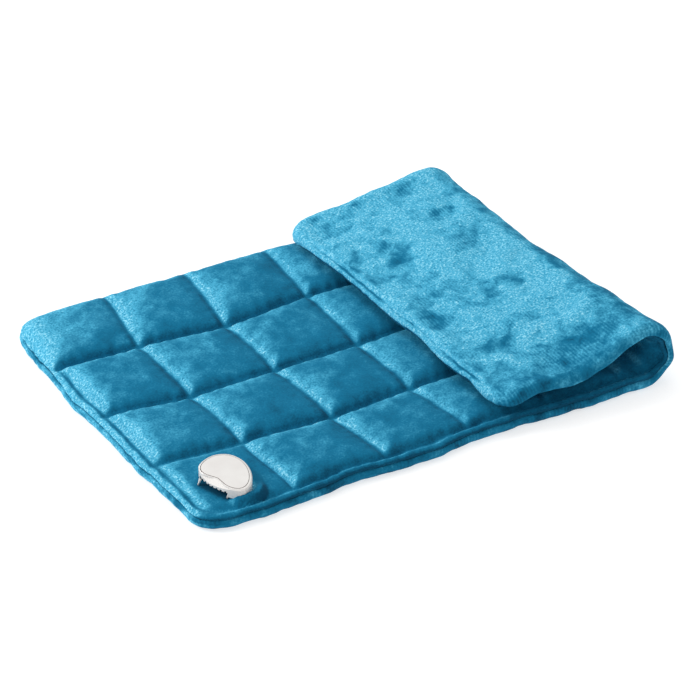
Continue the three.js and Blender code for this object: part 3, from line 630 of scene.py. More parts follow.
def plump_edge(s, y, edge, hem, raised):
    """The far side's and far corner's depth, where cells swell out to the edge, and how far that holds."""
    far = smooth(y, *OPEN_SIDE) * (1 - flapness(s))
    corner = smooth(y, *FAR_CORNER) * (1 - smooth(s, *OPEN_END))
    low = QUILT_HEM[3]
    inwards = np.clip((edge - OUTERMOST) / OPEN_ROUND, 0, 1)
    puff = quilting.puff(s + HEM * corner, y - HEM * far) * raised
    depth = low + (SEAM + puff - low) * np.sqrt(1 - (1 - inwards) ** 2)
    return np.where(edge < OUTERMOST, hem, depth), np.maximum(far, corner)


# Where the pile of the plain cover was pressed or brushed, dented where negative and raised where positive,
# and painted darker as shade in the dents and lighter on the rises: along, across, its two reaches, and how
# much
BRUSHED_AND_PAINTED_LIGHT = (
    (0.54, 0.057, 0.013, 0.009, -1),
    (0.577, -0.037, 0.01, 0.013, -1.3),
    (0.549, -0.097, 0.016, 0.008, -1.2),
    (0.477, 0.089, 0.01, 0.009, -0.8),
    (0.56, 0.117, 0.02, 0.008, -1),
    (0.488, 0.14, 0.016, 0.01, -0.7),
    (0.496, -0.117, 0.014, 0.012, -0.8),
    (0.47, -0.13, 0.04, 0.024, -0.8),
    (0.535, -0.146, 0.07, 0.014, -0.6),
    (0.579, 0.1, 0.008, 0.014, 0.7),
    (0.513, 0.06, 0.02, 0.02, 0.6),
    (0.586, 0.056, 0.007, 0.012, 0.7),
    (0.575, -0.067, 0.012, 0.014, 0.7),
    (0.58, 0, 0.01, 0.016, 0.9),
    (0.562, -0.113, 0.007, 0.009, 1),
    (0.466, -0.054, 0.018, 0.02, 0.5),
    (0.515, -0.094, 0.014, 0.006, 0.8),
    (0.478, -0.103, 0.02, 0.006, 0.8),
)
BRUSH_WANDER = ((0.007, 0.014, 16), (0.006, 0.013, 17))

# Plain cover: rows of noise are height, size and seed
LIP_BEAD = 0.0018
LIP_BEAD_PLACE = 0.0058
LIP_BEAD_REACH = 0.0015
DENTS = ((0.0016, 0.043, 11), (0.0013, 0.021, 12), (0.0003, 0.009, 13))
BRUSH_DENT = 0.0012
DENT_LIMITS = (-0.0035, 0.0022)
DENT_RISE = 0.012
FLAP_DENT_RISE = 0.014
PLAIN_NAP = (0.00015, 0.005, 14)
PLAIN_HEM_NAP = (0.0003, 0.0045, 15)
PLAIN_HEM_NAP_END = (0.006, 0.014)
GROUND_END = 0.005
GROUND_FADE = 0.02


def brushed_and_painted_light(s, y):
    total = np.zeros_like(s)
    s, y = s + roughened(s, y, BRUSH_WANDER[:1]), y + roughened(s, y, BRUSH_WANDER[1:])
    for middle_s, middle_y, reach_s, reach_y, much in BRUSHED_AND_PAINTED_LIGHT:
        total += much * np.exp(-(((s - middle_s) / reach_s) ** 2) - ((y - middle_y) / reach_y) ** 2)
    return total


def plain_depth(grid):
    s, y, edge = grid.s, grid.y, grid.edge
    on_flap = flapness(s)
    inset = np.where(edge < HEM_REACH, np.interp(edge, HEM_PLACES, HEM_INSETS), edge)
    bow = 1 - np.clip(inset / FLAP_ROLL, 0, 1)
    roll = PLAIN_FLAP_HEM[-1] * (1 - np.sqrt(1 - bow**2))
    under = np.interp(edge, HEM_PLACES[:4], PLAIN_FLAP_HEM)
    lip = free_end(s, y)
    roll = np.where(edge < OUTERMOST, under, roll) * (1 - (1 - FREE_LIP_SHARE) * lip)
    roll = roll + LIP_BEAD * lip * bell(edge, LIP_BEAD_PLACE, LIP_BEAD_REACH)
    dents = np.clip(roughened(s, y, DENTS) - BRUSH_DENT * brushed_and_painted_light(s, y), *DENT_LIMITS)
    away = np.clip((edge - HEM_INSIDE) / DENT_RISE, 0, 1)
    hem = np.interp(edge, HEM_PLACES, PLAIN_HEM)
    flat = np.where(edge < HEM_INSIDE, hem, PLAIN_HEM[-1] * (1 - away) + away * dents)
    turned = roll + np.clip((edge - OUTERMOST) / FLAP_DENT_RISE, 0, 1) * dents
    nap_and_painted_light = roughened(s, y, (PLAIN_NAP,))
    nap_and_painted_light = nap_and_painted_light + roughened(s, y, (PLAIN_HEM_NAP,)) * (1 - smooth(edge, *PLAIN_HEM_NAP_END))
    depth = napped(flat * (1 - on_flap) + turned * on_flap, nap_and_painted_light, edge)
    free = np.clip((s - FOLD_START - GROUND_END) / GROUND_FADE, 0, 1)
    return np.maximum(depth, 0) * (1 - free) + depth * free


# Where the covers are cut: only at the crest of the fold, which the lower and the upper pieces bend up to
CREST = 0.424

# Painted light and shade of the quilted pile: it is painted paler, showing pale tips, where it faces the
# flat end and the far side, as if lit from there, and darker where it faces away
PAINTED_LIGHT_FROM = np.array([-0.8, 0.45, 0.4])
PAINTED_LIGHT_LEVEL = 0.34
AWAY_SHARE = 0.45
NEAR_FLAP = (0.16, 0.26)
NEAR_FLAP_SHARE = 0.35
# Patches painted lighter at the flat end, the far corner and the far row; painted shade beside the socket,
# under the mouth's lip and on the hem tucked under the flap
FLAT_END_PAINTED_LIGHT = (0.14, 0.02)
FAR_CORNER_PAINTED_LIGHT = (0.16, 0.03)
FAR_CORNER_SIDE = (0.07, 0.13)
FAR_ROW_PAINTED_LIGHT = 0.04
FAR_ROW_SIDE = (0.08, 0.1)
SOCKET_PAINTED_SHADE = 0.26
MOUTH_PAINTED_SHADOW = -0.15
TUCKED_PAINTED_SHADE = 0.12
TUCKED_EDGE = (0.008, 0.016)

# Painted light and shade of the plain cover's pile, from its own light direction, which is laid back along
# the flap
PLAIN_PAINTED_LIGHT_FROM = np.array([-0.6, 0.3, 0.4])
PLAIN_PAINTED_LIGHT_LEVEL = 0.57
# Painted light under the pad, and the darkest painted shade allowed
PLAIN_UNDER = 0.3
UNDER_SHARE = 0.4
PLAIN_LEAST = 0.26
BRUSH_PAINTED_LIGHT_SHARE = 0.2
# Painted shade towards the free end and where the flap slopes on the near side, and how much lighter the
# darkest painted shade is on the far side, round the arc and by the near side
FREE_END_LOSS = 0.09
FREE_END_PLACE = (0.5, 0.59)
SLOPE_LOSS = 0.3
SLOPE_SIDE = (0.108, 0.13)
SLOPE_START = (0.458, 0.485)
SLOPE_END = (0.5, 0.535)
FAR_LEAST = 0.16
FAR_LEAST_SIDE = (-0.13, -0.02)
ARC_LEAST = 0.08
NEAR_LEAST_SIDE = (0.12, 0.155)
NEAR_LEAST_END = (0.56, 0.58)


def facing(points, up):
    """The direction that each place of a surface faces."""
    normal = np.cross(np.gradient(points, axis=0), np.gradient(points, axis=1))
    normal = normal / np.maximum(np.linalg.norm(normal, axis=-1, keepdims=True), 1e-12)
    return normal if up else -normal


def quilted_painted_light(s, y, edge, turned, base, middle):
    """The quilted cover's painted light and shade, from how it tilts, in the cloth's own directions,
    towards a fixed light direction.
    """
    ahead = np.gradient(middle, axis=0)
    ahead = ahead / np.linalg.norm(ahead, axis=-1, keepdims=True)
    tilt = PAINTED_LIGHT_FROM[0] * (turned * ahead).sum(-1) + PAINTED_LIGHT_FROM[1] * turned[..., 1]
    tilt = tilt + PAINTED_LIGHT_FROM[2] * (turned * base).sum(-1)
    towards = 1 - NEAR_FLAP_SHARE * smooth(s, *NEAR_FLAP)
    pile_lie_and_painted_light = PAINTED_LIGHT_LEVEL + np.where(tilt < 0, tilt * AWAY_SHARE, tilt * towards)
    pile_lie_and_painted_light = pile_lie_and_painted_light + FLAT_END_PAINTED_LIGHT[0] * np.exp(-s / FLAT_END_PAINTED_LIGHT[1])
    pile_lie_and_painted_light = pile_lie_and_painted_light + FAR_CORNER_PAINTED_LIGHT[0] * smooth(y, *FAR_CORNER_SIDE) * np.exp(-s / FAR_CORNER_PAINTED_LIGHT[1])
    pile_lie_and_painted_light = pile_lie_and_painted_light + FAR_ROW_PAINTED_LIGHT * smooth(y, *FAR_ROW_SIDE)
    # Painted shade on the pile beside the socket, and the painted shadow under the mouth's lip
    pressed_and_painted_shade = np.maximum(pile_lie_and_painted_light - SOCKET_PAINTED_SHADE, 0) * beside_socket(s, y)[0]
    pile_lie_and_painted_light = pile_lie_and_painted_light - pressed_and_painted_shade - (pile_lie_and_painted_light - MOUTH_PAINTED_SHADOW) * under_lip_painted_shadow(s, y)
    # The quilted hem tucked under the flap is painted dark, as shade there
    tucked = flapness(s) * (1 - smooth(edge, *TUCKED_EDGE))
    return pile_lie_and_painted_light * (1 - tucked) + TUCKED_PAINTED_SHADE * tucked


def plain_painted_light(s, y, now, turned):
    """The plain cover's painted light and shade, from how it faces a fixed light direction, which is darker
    under the pad than on the flap.
    """
    # Painted light from how the cover faces, with the brushed marks painted darker in their dents and
    # lighter on their rises
    lying_painted_light = now @ PLAIN_PAINTED_LIGHT_FROM + PLAIN_PAINTED_LIGHT_LEVEL - PLAIN_PAINTED_LIGHT_FROM[2] + BRUSH_PAINTED_LIGHT_SHARE * brushed_and_painted_light(s, y)
    sloping = smooth(-y, *SLOPE_SIDE) * smooth(s, *SLOPE_START) * (1 - smooth(s, *SLOPE_END))
    lying_painted_light = lying_painted_light - FREE_END_LOSS * smooth(s, *FREE_END_PLACE) - SLOPE_LOSS * sloping
    # The darkest painted shade allowed, lighter on the far side, round the arc and by the near side
    on_arc = smooth(s, FOLD_START + 0.01, CREST) * (1 - smooth(s, FOLD_END, FOLD_END + 0.03))
    near = smooth(-y, *NEAR_LEAST_SIDE) * (1 - smooth(s, *NEAR_LEAST_END))
    least = PLAIN_LEAST + FAR_LEAST * smooth(y, *FAR_LEAST_SIDE)
    least = least + ARC_LEAST * (near + on_arc) * (1 - sloping)
    under = np.maximum(PLAIN_UNDER + UNDER_SHARE * turned @ PAINTED_LIGHT_FROM, PLAIN_LEAST)
    free = smooth(s, FOLD_START - 0.01, CREST)
    return under * (1 - free) + np.maximum(lying_painted_light, least) * free


# The painted light and shade of a cover, from how its outer face turns against the cloth's middle surface
def painted_light_of(grid, outer, up):
    s, y, points = outer
    now = facing(points, up)
    middle = place(s, y, np.full_like(s, MIDDLE))
    base = facing(middle, up)
    if up:
        return quilted_painted_light(s, y, grid.edge, now - base, base, middle)
    return plain_painted_light(s, y, now, now - base)


def new_object(name, points, faces, uv):
    mesh = bpy.data.meshes.new(name)
    mesh.from_pydata(points.reshape(-1, 3).tolist(), [], faces)
    cloth = mesh.uv_layers.new(name="cloth")
    corners = np.empty(len(mesh.loops), np.int32)
    mesh.loops.foreach_get("vertex_index", corners)
    cloth.data.foreach_set("uv", uv[corners].astype(np.float32).reshape(-1))
    piece = bpy.data.objects.new(name, mesh)
    bpy.context.scene.collection.objects.link(piece)
    mesh.polygons.foreach_set("use_smooth", np.ones(len(mesh.polygons), bool))
    return piece


def select_only(piece):
    bpy.ops.object.select_all(action="DESELECT")
    bpy.context.view_layer.objects.active = piece
    piece.select_set(True)


def shell(name, outer, inner, up, nap_and_painted_light=None):
    """A closed sheet between an outer and an inner surface on the same grid, smooth but for its cut edges.
    Up is true where the outer surface has the greater depth."""
    rows, columns = outer[2].shape[:2]
    count = rows * columns
    top = grid_faces(rows, columns)
    bottom = top[:, ::-1] + count
    if not up:
        top, bottom = top[:, ::-1], bottom[:, ::-1]
    index = np.arange(count).reshape(rows, columns)
    loop = np.concatenate([index[:-1, 0], index[-1, :-1], index[:0:-1, -1], index[0, :0:-1]])
    after = np.roll(loop, -1)
    wall = np.stack([loop, loop + count, after + count, after], -1)
    if not up:
        wall = wall[:, ::-1]
    faces = np.concatenate([top, bottom, wall])
    points = np.concatenate([outer[2].reshape(-1, 3), inner[2].reshape(-1, 3)])
    uv = np.concatenate([np.stack(part[:2], -1).reshape(-1, 2) for part in (outer, inner)])
    piece = new_object(name, points, faces.tolist(), uv)
    # The outer face's painted light and shade is kept as a point attribute; the inner face gets the even
    # level
    if nap_and_painted_light is not None:
        values = np.concatenate([nap_and_painted_light.reshape(-1), np.full(count, PAINTED_LIGHT_LEVEL)])
        kept = piece.data.attributes.new("nap_and_painted_light", "FLOAT", "POINT")
        kept.data.foreach_set("value", values.astype(np.float32))
    select_only(piece)
    bpy.ops.object.shade_smooth_by_angle(angle=math.radians(70))
    return piece


# Covers
STEP = 0.002
PRESSED_SHARE = 0.3
RIM_INSET_SHARE = 0.9
QUILT_RIM = (QUILT_HEM[0], QUILT_FLAP_HEM[0], QUILT_FREE_HEM[0])
PLAIN_RIM = (PLAIN_HEM[0], PLAIN_FLAP_HEM[0], PLAIN_FLAP_HEM[0] * FREE_LIP_SHARE)
lower_rows = stations(0, CREST, STEP, first=HEM_PLACES)
upper_rows = stations(CREST, PAD_LENGTH, STEP, last=HEM_PLACES)
side_columns = stations(-HALF_WIDTH, HALF_WIDTH, STEP, first=HEM_PLACES, last=HEM_PLACES)


def inner_depth(grid, outer, thickness, rim):
    """The inner face of a cover, a thickness in from its outer one, and at the edge on the cover's rim."""
    share = np.clip((grid.edge - OUTERMOST) / (HEM_REACH - OUTERMOST), 0, 1)
    on_flap, lip = flapness(grid.s), free_end(grid.s, grid.y)
    rim = rim[0] * (1 - on_flap) + (rim[1] * (1 - lip) + rim[2] * lip) * on_flap
    pressed_and_painted_shade = thickness * (1 - PRESSED_SHARE * quilting.seams(grid.s, grid.y))
    return rim * (1 - share) + (outer - pressed_and_painted_shade) * share


def cover(name, rows, outer_depth, thickness, rim, up):
    grid = Grid(rows, side_columns)
    depth = outer_depth(grid)
    inset = np.maximum(HEM_INSETS[0] - grid.edge, 0) * RIM_INSET_SHARE
    if up:
        inset = inset + grid.tuck()
    outer = grid.laid(depth, up)
    inner = grid.moved(-inset, inner_depth(grid, depth, thickness, rim))
    return shell(name, outer, inner, up, painted_light_of(grid, outer, up))


quilt_lower = cover("quilt_lower", lower_rows, quilt_depth, COVER, QUILT_RIM, True)
quilt_upper = cover("quilt_upper", upper_rows, quilt_depth, COVER, QUILT_RIM, True)
plain_lower = cover("plain_lower", lower_rows, plain_depth, -COVER, PLAIN_RIM, False)
plain_upper = cover("plain_upper", upper_rows, plain_depth, -COVER, PLAIN_RIM, False)

# Wadding between the covers, and the layers inside the fold
GAP = 0.0003
LAYER_STEP = 0.004
BATTING_INSET = 0.0085
BATTING_BOTTOM = 0.0061
CARRIER = (0.0033, 0.0039)
CARRIER_MARGIN = 0.013
WIRE_DEPTH = 0.005
WIRE_RADIUS = 0.0008
WIRE_STEP = 0.0015
WIRE_SIDES = 12
LANE = 0.145
LOWER_BEND = (FOLD_START + GAP / 2, CREST - GAP / 2)
UPPER_BEND = (CREST + GAP / 2, FOLD_END - GAP / 2)


def layer(name, start, end, inset, low, high):
    """An inner sheet from start to end along the pad, an inset in from its sides."""
    rows = stations(start, end, LAYER_STEP)
    grid = Grid(rows, stations(inset - HALF_WIDTH, HALF_WIDTH - inset, LAYER_STEP))
    return shell(name, grid.moved(0, high(grid)), grid.moved(0, low(grid)), True)


def level(depth):
    return lambda grid: np.full_like(grid.s, depth)


def batting_top(grid):
    top = quilt_depth(grid) - COVER - 2 * GAP
    top = np.where(is_seat(*in_cells(grid.s, grid.y)), 0, top)
    return np.maximum(top, BATTING_BOTTOM + GAP)


def batting(name, start, end):
    return layer(name, start, end, BATTING_INSET, level(BATTING_BOTTOM), batting_top)


def carrier(name, start, end):
    return layer(name, start, end, CARRIER_MARGIN, level(CARRIER[0]), level(CARRIER[1]))


def bent_wire(name, ends, y):
    """A round wire along the cloth, closed at both ends."""
    s = stations(*ends, WIRE_STEP)
    angle = np.arange(WIRE_SIDES) * 2 * np.pi / WIRE_SIDES
    rings_s = np.repeat(s[:, None], WIRE_SIDES, 1)
    rings_y = y + WIRE_RADIUS * np.cos(angle)[None, :] + 0 * rings_s
    rings = place(rings_s, rings_y, WIRE_DEPTH + WIRE_RADIUS * np.sin(angle)[None, :])
    index = np.arange(rings.size // 3).reshape(len(s), WIRE_SIDES)
    after = np.roll(index, -1, 1)
    sides = np.stack([index[:-1], after[:-1], after[1:], index[1:]], -1).reshape(-1, 4)
    faces = sides[:, ::-1].tolist() + [index[0].tolist(), index[-1][::-1].tolist()]
    return new_object(name, rings, faces, np.stack([rings_s, rings_y], -1).reshape(-1, 2))


batting_lower = batting("batting_lower", BATTING_INSET, LOWER_BEND[1])
batting_upper = batting("batting_upper", UPPER_BEND[0], PAD_LENGTH - BATTING_INSET)
carrier_lower = carrier("carrier_lower", CARRIER_MARGIN, LOWER_BEND[1])
carrier_upper = carrier("carrier_upper", UPPER_BEND[0], PAD_LENGTH - CARRIER_MARGIN)
out_lower = bent_wire("heating_wire_out_lower", LOWER_BEND, LANE)
out_upper = bent_wire("heating_wire_out_upper", UPPER_BEND, LANE)
back_lower = bent_wire("heating_wire_back_lower", LOWER_BEND, -LANE)
back_upper = bent_wire("heating_wire_back_upper", UPPER_BEND, -LANE)

# Posts of the socket's mouth
JAMB_TOP = 0.0044
JAMB_LEAN = 0.0022
JAMB_RADII = (0.0004, 0.0012)
JAMB_SIDES = 10
JAMB_BEVEL = 0.0001


def jamb(name, end):
    """The thin tapered post at one end of the socket's mouth, from the lip's edge down to the cloth."""
    cos, sin = math.cos(SOCKET_TURN), math.sin(SOCKET_TURN)
    x = SOCKET_AT[0] - FOOTPRINT_MIDDLE + end[0] * cos - end[1] * sin
    y = SOCKET_AT[1] + end[0] * sin + end[1] * cos
    top = Vector((x, y, SEAT + JAMB_TOP))
    tip = Vector((x - JAMB_LEAN, y, SEAT))
    bpy.ops.object.select_all(action="DESELECT")
    bpy.ops.mesh.primitive_cone_add(
        vertices=JAMB_SIDES,
        radius1=JAMB_RADII[0],
        radius2=JAMB_RADII[1],
        depth=(top - tip).length,
        location=(top + tip) / 2,
    )
    piece = bpy.context.active_object
    piece.name = name
    piece.rotation_euler = (top - tip).to_track_quat("Z", "Y").to_euler()
    bpy.ops.object.transform_apply(location=True, rotation=True, scale=True)
    bpy.ops.object.mode_set(mode="EDIT")
    bpy.ops.mesh.select_all(action="SELECT")
    bpy.ops.mesh.bevel(offset=JAMB_BEVEL, segments=2, affect="EDGES")
    bpy.ops.object.mode_set(mode="OBJECT")
    bpy.ops.object.shade_smooth_by_angle(angle=math.radians(40))
    return piece


jambs = [jamb("socket_jamb_%d" % (i + 1), end) for i, end in enumerate(MOUTH_ENDS)]


# Shader maths written as expressions
class Value:
    def __init__(self, finish, socket):
        self.finish, self.socket = finish, socket

    def _maths(self, operation, left, right):
        return self.finish.node("ShaderNodeMath", {"operation": operation}, left, right)

    def __add__(self, other):
        return self._maths("ADD", self, other)

    def __sub__(self, other):
        return self._maths("SUBTRACT", self, other)

    def __rsub__(self, other):
        return self._maths("SUBTRACT", other, self)

    def __mul__(self, other):
        return self._maths("MULTIPLY", self, other)

    __radd__ = __add__
    __rmul__ = __mul__


class Finish:
    """A material under construction, whose nodes are made by one method."""

    def __init__(self, name):
        self.material = bpy.data.materials.new(name)
        self.material.use_nodes = True
        self.tree = self.material.node_tree
        self.shader = next(n for n in self.tree.nodes if n.type == "BSDF_PRINCIPLED")

    def put(self, socket, value):
        if isinstance(value, Value):
            self.tree.links.new(value.socket, socket)
        elif value is not None:
            socket.default_value = value

    def node(self, kind, settings, *inputs, out=0, **named):
        made = self.tree.nodes.new(kind)
        for key, value in settings.items():
            setattr(made, key, value)
        for i, value in enumerate(inputs):
            self.put(made.inputs[i], value)
        for key, value in named.items():
            self.put(made.inputs[key.replace("_", " ")], value)
        return Value(self, made.outputs[out])

    def object_place(self):
        return self.node("ShaderNodeTexCoord", {}, out=3)

    def cloth_place(self):
        return self.node("ShaderNodeUVMap", {"uv_map": "cloth"})

    def mixed(self, share, first, second):
        """Two colours mixed. The five sockets between the share and the colours are left alone."""
        sockets = (share, *[None] * 5, first, second)
        return self.node("ShaderNodeMix", {"data_type": "RGBA"}, *sockets, out=2)

    def ramp(self, value, low, high):
        settings = {"clamp": True, "interpolation_type": "SMOOTHSTEP"}
        return self.node("ShaderNodeMapRange", settings, value, low, high, 0.0, 1.0)

    def grain(self, where, scale, detail=2.0, roughness=0.5, distortion=0.0):
        return self.node(
            "ShaderNodeTexNoise",
            {"noise_dimensions": "3D"},
            Vector=where,
            Scale=scale,
            Detail=detail,
            Roughness=roughness,
            Distortion=distortion,
        )

    def bands(self, where, direction, scale, **more):
        settings = {"wave_type": "BANDS", "bands_direction": direction, "wave_profile": "SIN"}
        return self.node("ShaderNodeTexWave", settings, Vector=where, Scale=scale, **more)

    def bumped(self, height, strength, distance):
        return self.node("ShaderNodeBump", {}, Strength=strength, Distance=distance, Height=height)

    def set(self, **sockets):
        for key, value in sockets.items():
            self.put(self.shader.inputs[key.replace("_", " ")], value)
        return self.material


def rgb(red, green, blue):
    """A colour given as it looks on a screen, from 0 to 255."""

    def linear(value):
        value = value / 255
        return value / 12.92 if value <= 0.04045 else ((value + 0.055) / 1.055) ** 2.4

    return (linear(red), linear(green), linear(blue), 1.0)


# Blues of the pile, lit and shaded copies of one colour: painted shade, its own blue, painted light and
# painted highlight
PAINTED_SHADE_BLUE = rgb(4, 66, 94)
BLUE = rgb(16, 108, 144)
PAINTED_LIGHT_BLUE = rgb(72, 168, 202)
PAINTED_HIGHLIGHT_BLUE = rgb(160, 226, 244)
SHEEN = rgb(120, 210, 240)

# Grains of the finishes: scale, then detail, roughness and distortion
PILE_SWIRL = (30.0, 2.0, 0.5, 0.6)
PILE_MOTTLE = (85.0, 3.0, 0.6, 0.4)
PILE_TIPS = (640.0, 2.0, 0.6)
RIB_PATCHES = (24.0, 1.0, 0.5)
FIBRE_CLUMPS = (90.0, 4.0, 0.65, 1.2)
CLOTH_STRANDS = (700.0, 3.0, 0.6)
PLASTIC_CLOUDS = (60.0, 2.0, 0.5)
METAL_LINES = (1.0, 2.0, 0.5)
METAL_STAINS = (300.0, 3.0, 0.6)
METAL_STRETCH = (3000.0, 3000.0, 300.0)
RIB_SCALE = 110.0
DOT_SCALE = 160.0

# Between which values of the shown painted light each blue gives way to the next, and where the pile is
# painted lit, with stronger painted glints on its tips
PAINTED_SHADE_TO_BLUE = (-0.05, 0.36)
BLUE_TO_PAINTED_LIGHT = (0.3, 0.66)
PAINTED_LIGHT_TO_HIGHLIGHT = (0.62, 0.98)
PAINTED_LIT_RANGE = (0.42, 0.66)


def plush(name, ribs, speckle, patches):
    """Short pile with painted light and shade: deep and smooth where painted shaded, pale and speckled with
    painted glints on its tips where painted lit, over its own mottle and fine grain.
    """
    finish = Finish(name)
    where = finish.object_place()
    # The painted light and shade kept on the cover's points
    nap_and_painted_light = finish.node("ShaderNodeAttribute", {"attribute_name": "nap_and_painted_light"}, out=2)
    swirl = finish.grain(where, *PILE_SWIRL) - 0.5
    mottle = finish.grain(where, *PILE_MOTTLE) - 0.5
    tips = finish.grain(where, *PILE_TIPS) - 0.5
    pile_lie_and_painted_light = nap_and_painted_light + swirl * patches + mottle * patches
    if ribs:
        wave = finish.bands(finish.cloth_place(), "X", RIB_SCALE, Distortion=3.5, Detail=2.0)
        fading = finish.ramp(finish.grain(where, *RIB_PATCHES), 0.38, 0.62)
        pile_lie_and_painted_light = pile_lie_and_painted_light + (wave - 0.5) * fading * 0.1
    pile_lie_and_painted_light = finish.node("ShaderNodeMath", {"operation": "MINIMUM"}, pile_lie_and_painted_light, PAINTED_LIT_RANGE[1])
    painted_lit_share = finish.ramp(pile_lie_and_painted_light, *PAINTED_LIT_RANGE)
    # The pile's own fine speckle, made stronger as painted glints where the pile is painted lit
    shown = pile_lie_and_painted_light + tips * (0.34 + painted_lit_share * speckle)
    color = finish.mixed(finish.ramp(shown, *PAINTED_SHADE_TO_BLUE), PAINTED_SHADE_BLUE, BLUE)
    color = finish.mixed(finish.ramp(shown, *BLUE_TO_PAINTED_LIGHT), color, PAINTED_LIGHT_BLUE)
    color = finish.mixed(finish.ramp(shown, *PAINTED_LIGHT_TO_HIGHLIGHT), color, PAINTED_HIGHLIGHT_BLUE)
    height = tips * (0.5 + painted_lit_share * 0.5) + mottle * 0.6
    return finish.set(
        Base_Color=color,
        Roughness=0.95,
        Specular_IOR_Level=0.1,
        Sheen_Weight=0.08,
        Sheen_Roughness=0.4,
        Sheen_Tint=SHEEN,
        Normal=finish.bumped(height, 0.7, 0.0009),
    )


def fibres(name, pale, shade, roughness):
    """Loose white fibres, clumped and slightly shaded between the clumps."""
    finish = Finish(name)
    clumps = finish.grain(finish.object_place(), *FIBRE_CLUMPS)
    color = finish.mixed(finish.ramp(clumps, 0.3, 0.6), shade, pale)
    return finish.set(Base_Color=color, Roughness=roughness, Normal=finish.bumped(clumps, 0.8, 0.002))


def bonded_cloth(name, pale, shade):
    """Nonwoven cloth with its grid of bonded dots, sunk into it."""
    finish = Finish(name)
    cloth = finish.cloth_place()
    lengthwise, crosswise = (finish.bands(cloth, direction, DOT_SCALE) for direction in ("X", "Y"))
    dots = finish.ramp(lengthwise * crosswise, 0.45, 0.8)
    strands = finish.grain(cloth, *CLOTH_STRANDS)
    color = finish.mixed(finish.ramp(strands - dots * 0.4, 0.1, 0.6), shade, pale)
    normal = finish.bumped(strands * 0.3 - dots, 0.6, 0.0002)
    return finish.set(Base_Color=color, Roughness=0.9, Normal=normal)


def mottled(finish, color, shade, roughness):
    """Plastic's faint unevenness, as its colour and its roughness."""
    broad = finish.grain(finish.object_place(), *PLASTIC_CLOUDS)
    return finish.mixed(finish.ramp(broad, 0.3, 0.7), shade, color), broad * 0.12 + (roughness - 0.06)


def moulded(name, color, shade, roughness, grain_size, depth):
    """Moulded or drawn plastic and rubber with a fine even grain."""
    finish = Finish(name)
    shown, rough = mottled(finish, color, shade, roughness)
    fine = finish.grain(finish.object_place(), 1 / grain_size, 2.0, 0.5)
    return finish.set(Base_Color=shown, Roughness=rough, Normal=finish.bumped(fine, 0.4, depth))


def plate_with_painted_groove_shade(name, color, shade, groove_painted_shade, roughness):
    """The socket's inlaid plate: the same plastic, with a dark line of painted shade along its near and
    open sides, on its edge where it faces them.
    """
    finish = Finish(name)
    normal = finish.node("ShaderNodeNewGeometry", {}, out=1)
    across, along, up = (finish.node("ShaderNodeSeparateXYZ", {}, normal, out=i) for i in range(3))
    # Painted shade of the groove round the plate, on the plate's edge where it faces the near and open
    # sides
    rim = finish.ramp(up, 0.96, 0.85) * finish.ramp(across * -0.7 - along * 0.7, -0.35, 0.3)
    shown, rough = mottled(finish, color, shade, roughness)
    return finish.set(Base_Color=finish.mixed(rim, shown, groove_painted_shade), Roughness=rough)


def drawn_metal(name, color, shade, roughness):
    """Metal with fine lines along it and faint stains."""
    finish = Finish(name)
    where = finish.object_place()
    stretched = finish.node("ShaderNodeMapping", {}, Vector=where, Scale=METAL_STRETCH)
    lines = finish.grain(stretched, *METAL_LINES)
    stains = finish.grain(where, *METAL_STAINS)
    return finish.set(
        Base_Color=finish.mixed(finish.ramp(stains, 0.4, 0.7), color, shade),
        Metallic=1.0,
        Roughness=lines * 0.15 + roughness,
        Normal=finish.bumped(lines, 0.3, 0.00005),
    )


WHITE_PLASTIC = (rgb(221, 219, 216), rgb(216, 213, 210), 0.42)
RUBBER = (rgb(216, 205, 184), rgb(206, 194, 170), 0.55)
SLEEVE_RUBBER = (rgb(38, 39, 42), rgb(28, 29, 31), 0.6)
DARK_PLASTIC = (rgb(40, 42, 45), rgb(33, 34, 37), 0.5)
GROOVE_PAINTED_SHADE = rgb(96, 78, 74)

FINISHES = {
    "quilted_plush": plush("quilted_plush", False, 0.9, 0.33),
    "plain_plush": plush("plain_plush", True, 0.75, 0.85),
    "wadding": fibres("wadding", rgb(240, 242, 242), rgb(214, 218, 220), 1.0),
    "carrier_cloth": bonded_cloth("carrier_cloth", rgb(222, 224, 216), rgb(190, 194, 186)),
    "wire_insulation": moulded("wire_insulation", *RUBBER, 0.0004, 0.00004),
    "sleeving": moulded("sleeving", *SLEEVE_RUBBER, 0.0006, 0.00006),
    "socket_plastic": moulded("socket_plastic", *WHITE_PLASTIC, 0.0005, 0.00003),
    "block_plastic": moulded("block_plastic", *DARK_PLASTIC, 0.0005, 0.00004),
    "contact_metal": drawn_metal("contact_metal", rgb(204, 166, 84), rgb(176, 134, 62), 0.25),
    "steel": drawn_metal("steel", rgb(184, 188, 191), rgb(150, 152, 154), 0.3),
}
PLATE_FINISH_WITH_PAINTED_SHADE = plate_with_painted_groove_shade("socket_plate_painted_groove_shade", *WHITE_PLASTIC[:2], GROOVE_PAINTED_SHADE, WHITE_PLASTIC[2])


def dress(piece, slot):
    piece.data.materials.clear()
    piece.data.materials.append(FINISHES[slot])


for part in frame["record"]["subparts"]:
    for slot in frame["nodes"][part["node"]].material_slots:
        slot.material = FINISHES[part["material_slot"]]
for slot in frame["nodes"]["socket_top_plate"].material_slots:
    slot.material = PLATE_FINISH_WITH_PAINTED_SHADE
for piece in (batting_lower, batting_upper):
    dress(piece, "wadding")
for piece in (carrier_lower, carrier_upper):
    dress(piece, "carrier_cloth")
for piece in (out_lower, out_upper, back_lower, back_upper):
    dress(piece, "wire_insulation")
for piece in (quilt_lower, quilt_upper):
    dress(piece, "quilted_plush")
for piece in (plain_lower, plain_upper):
    dress(piece, "plain_plush")
for piece in jambs:
    dress(piece, "socket_plastic")
    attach(piece, "pad")

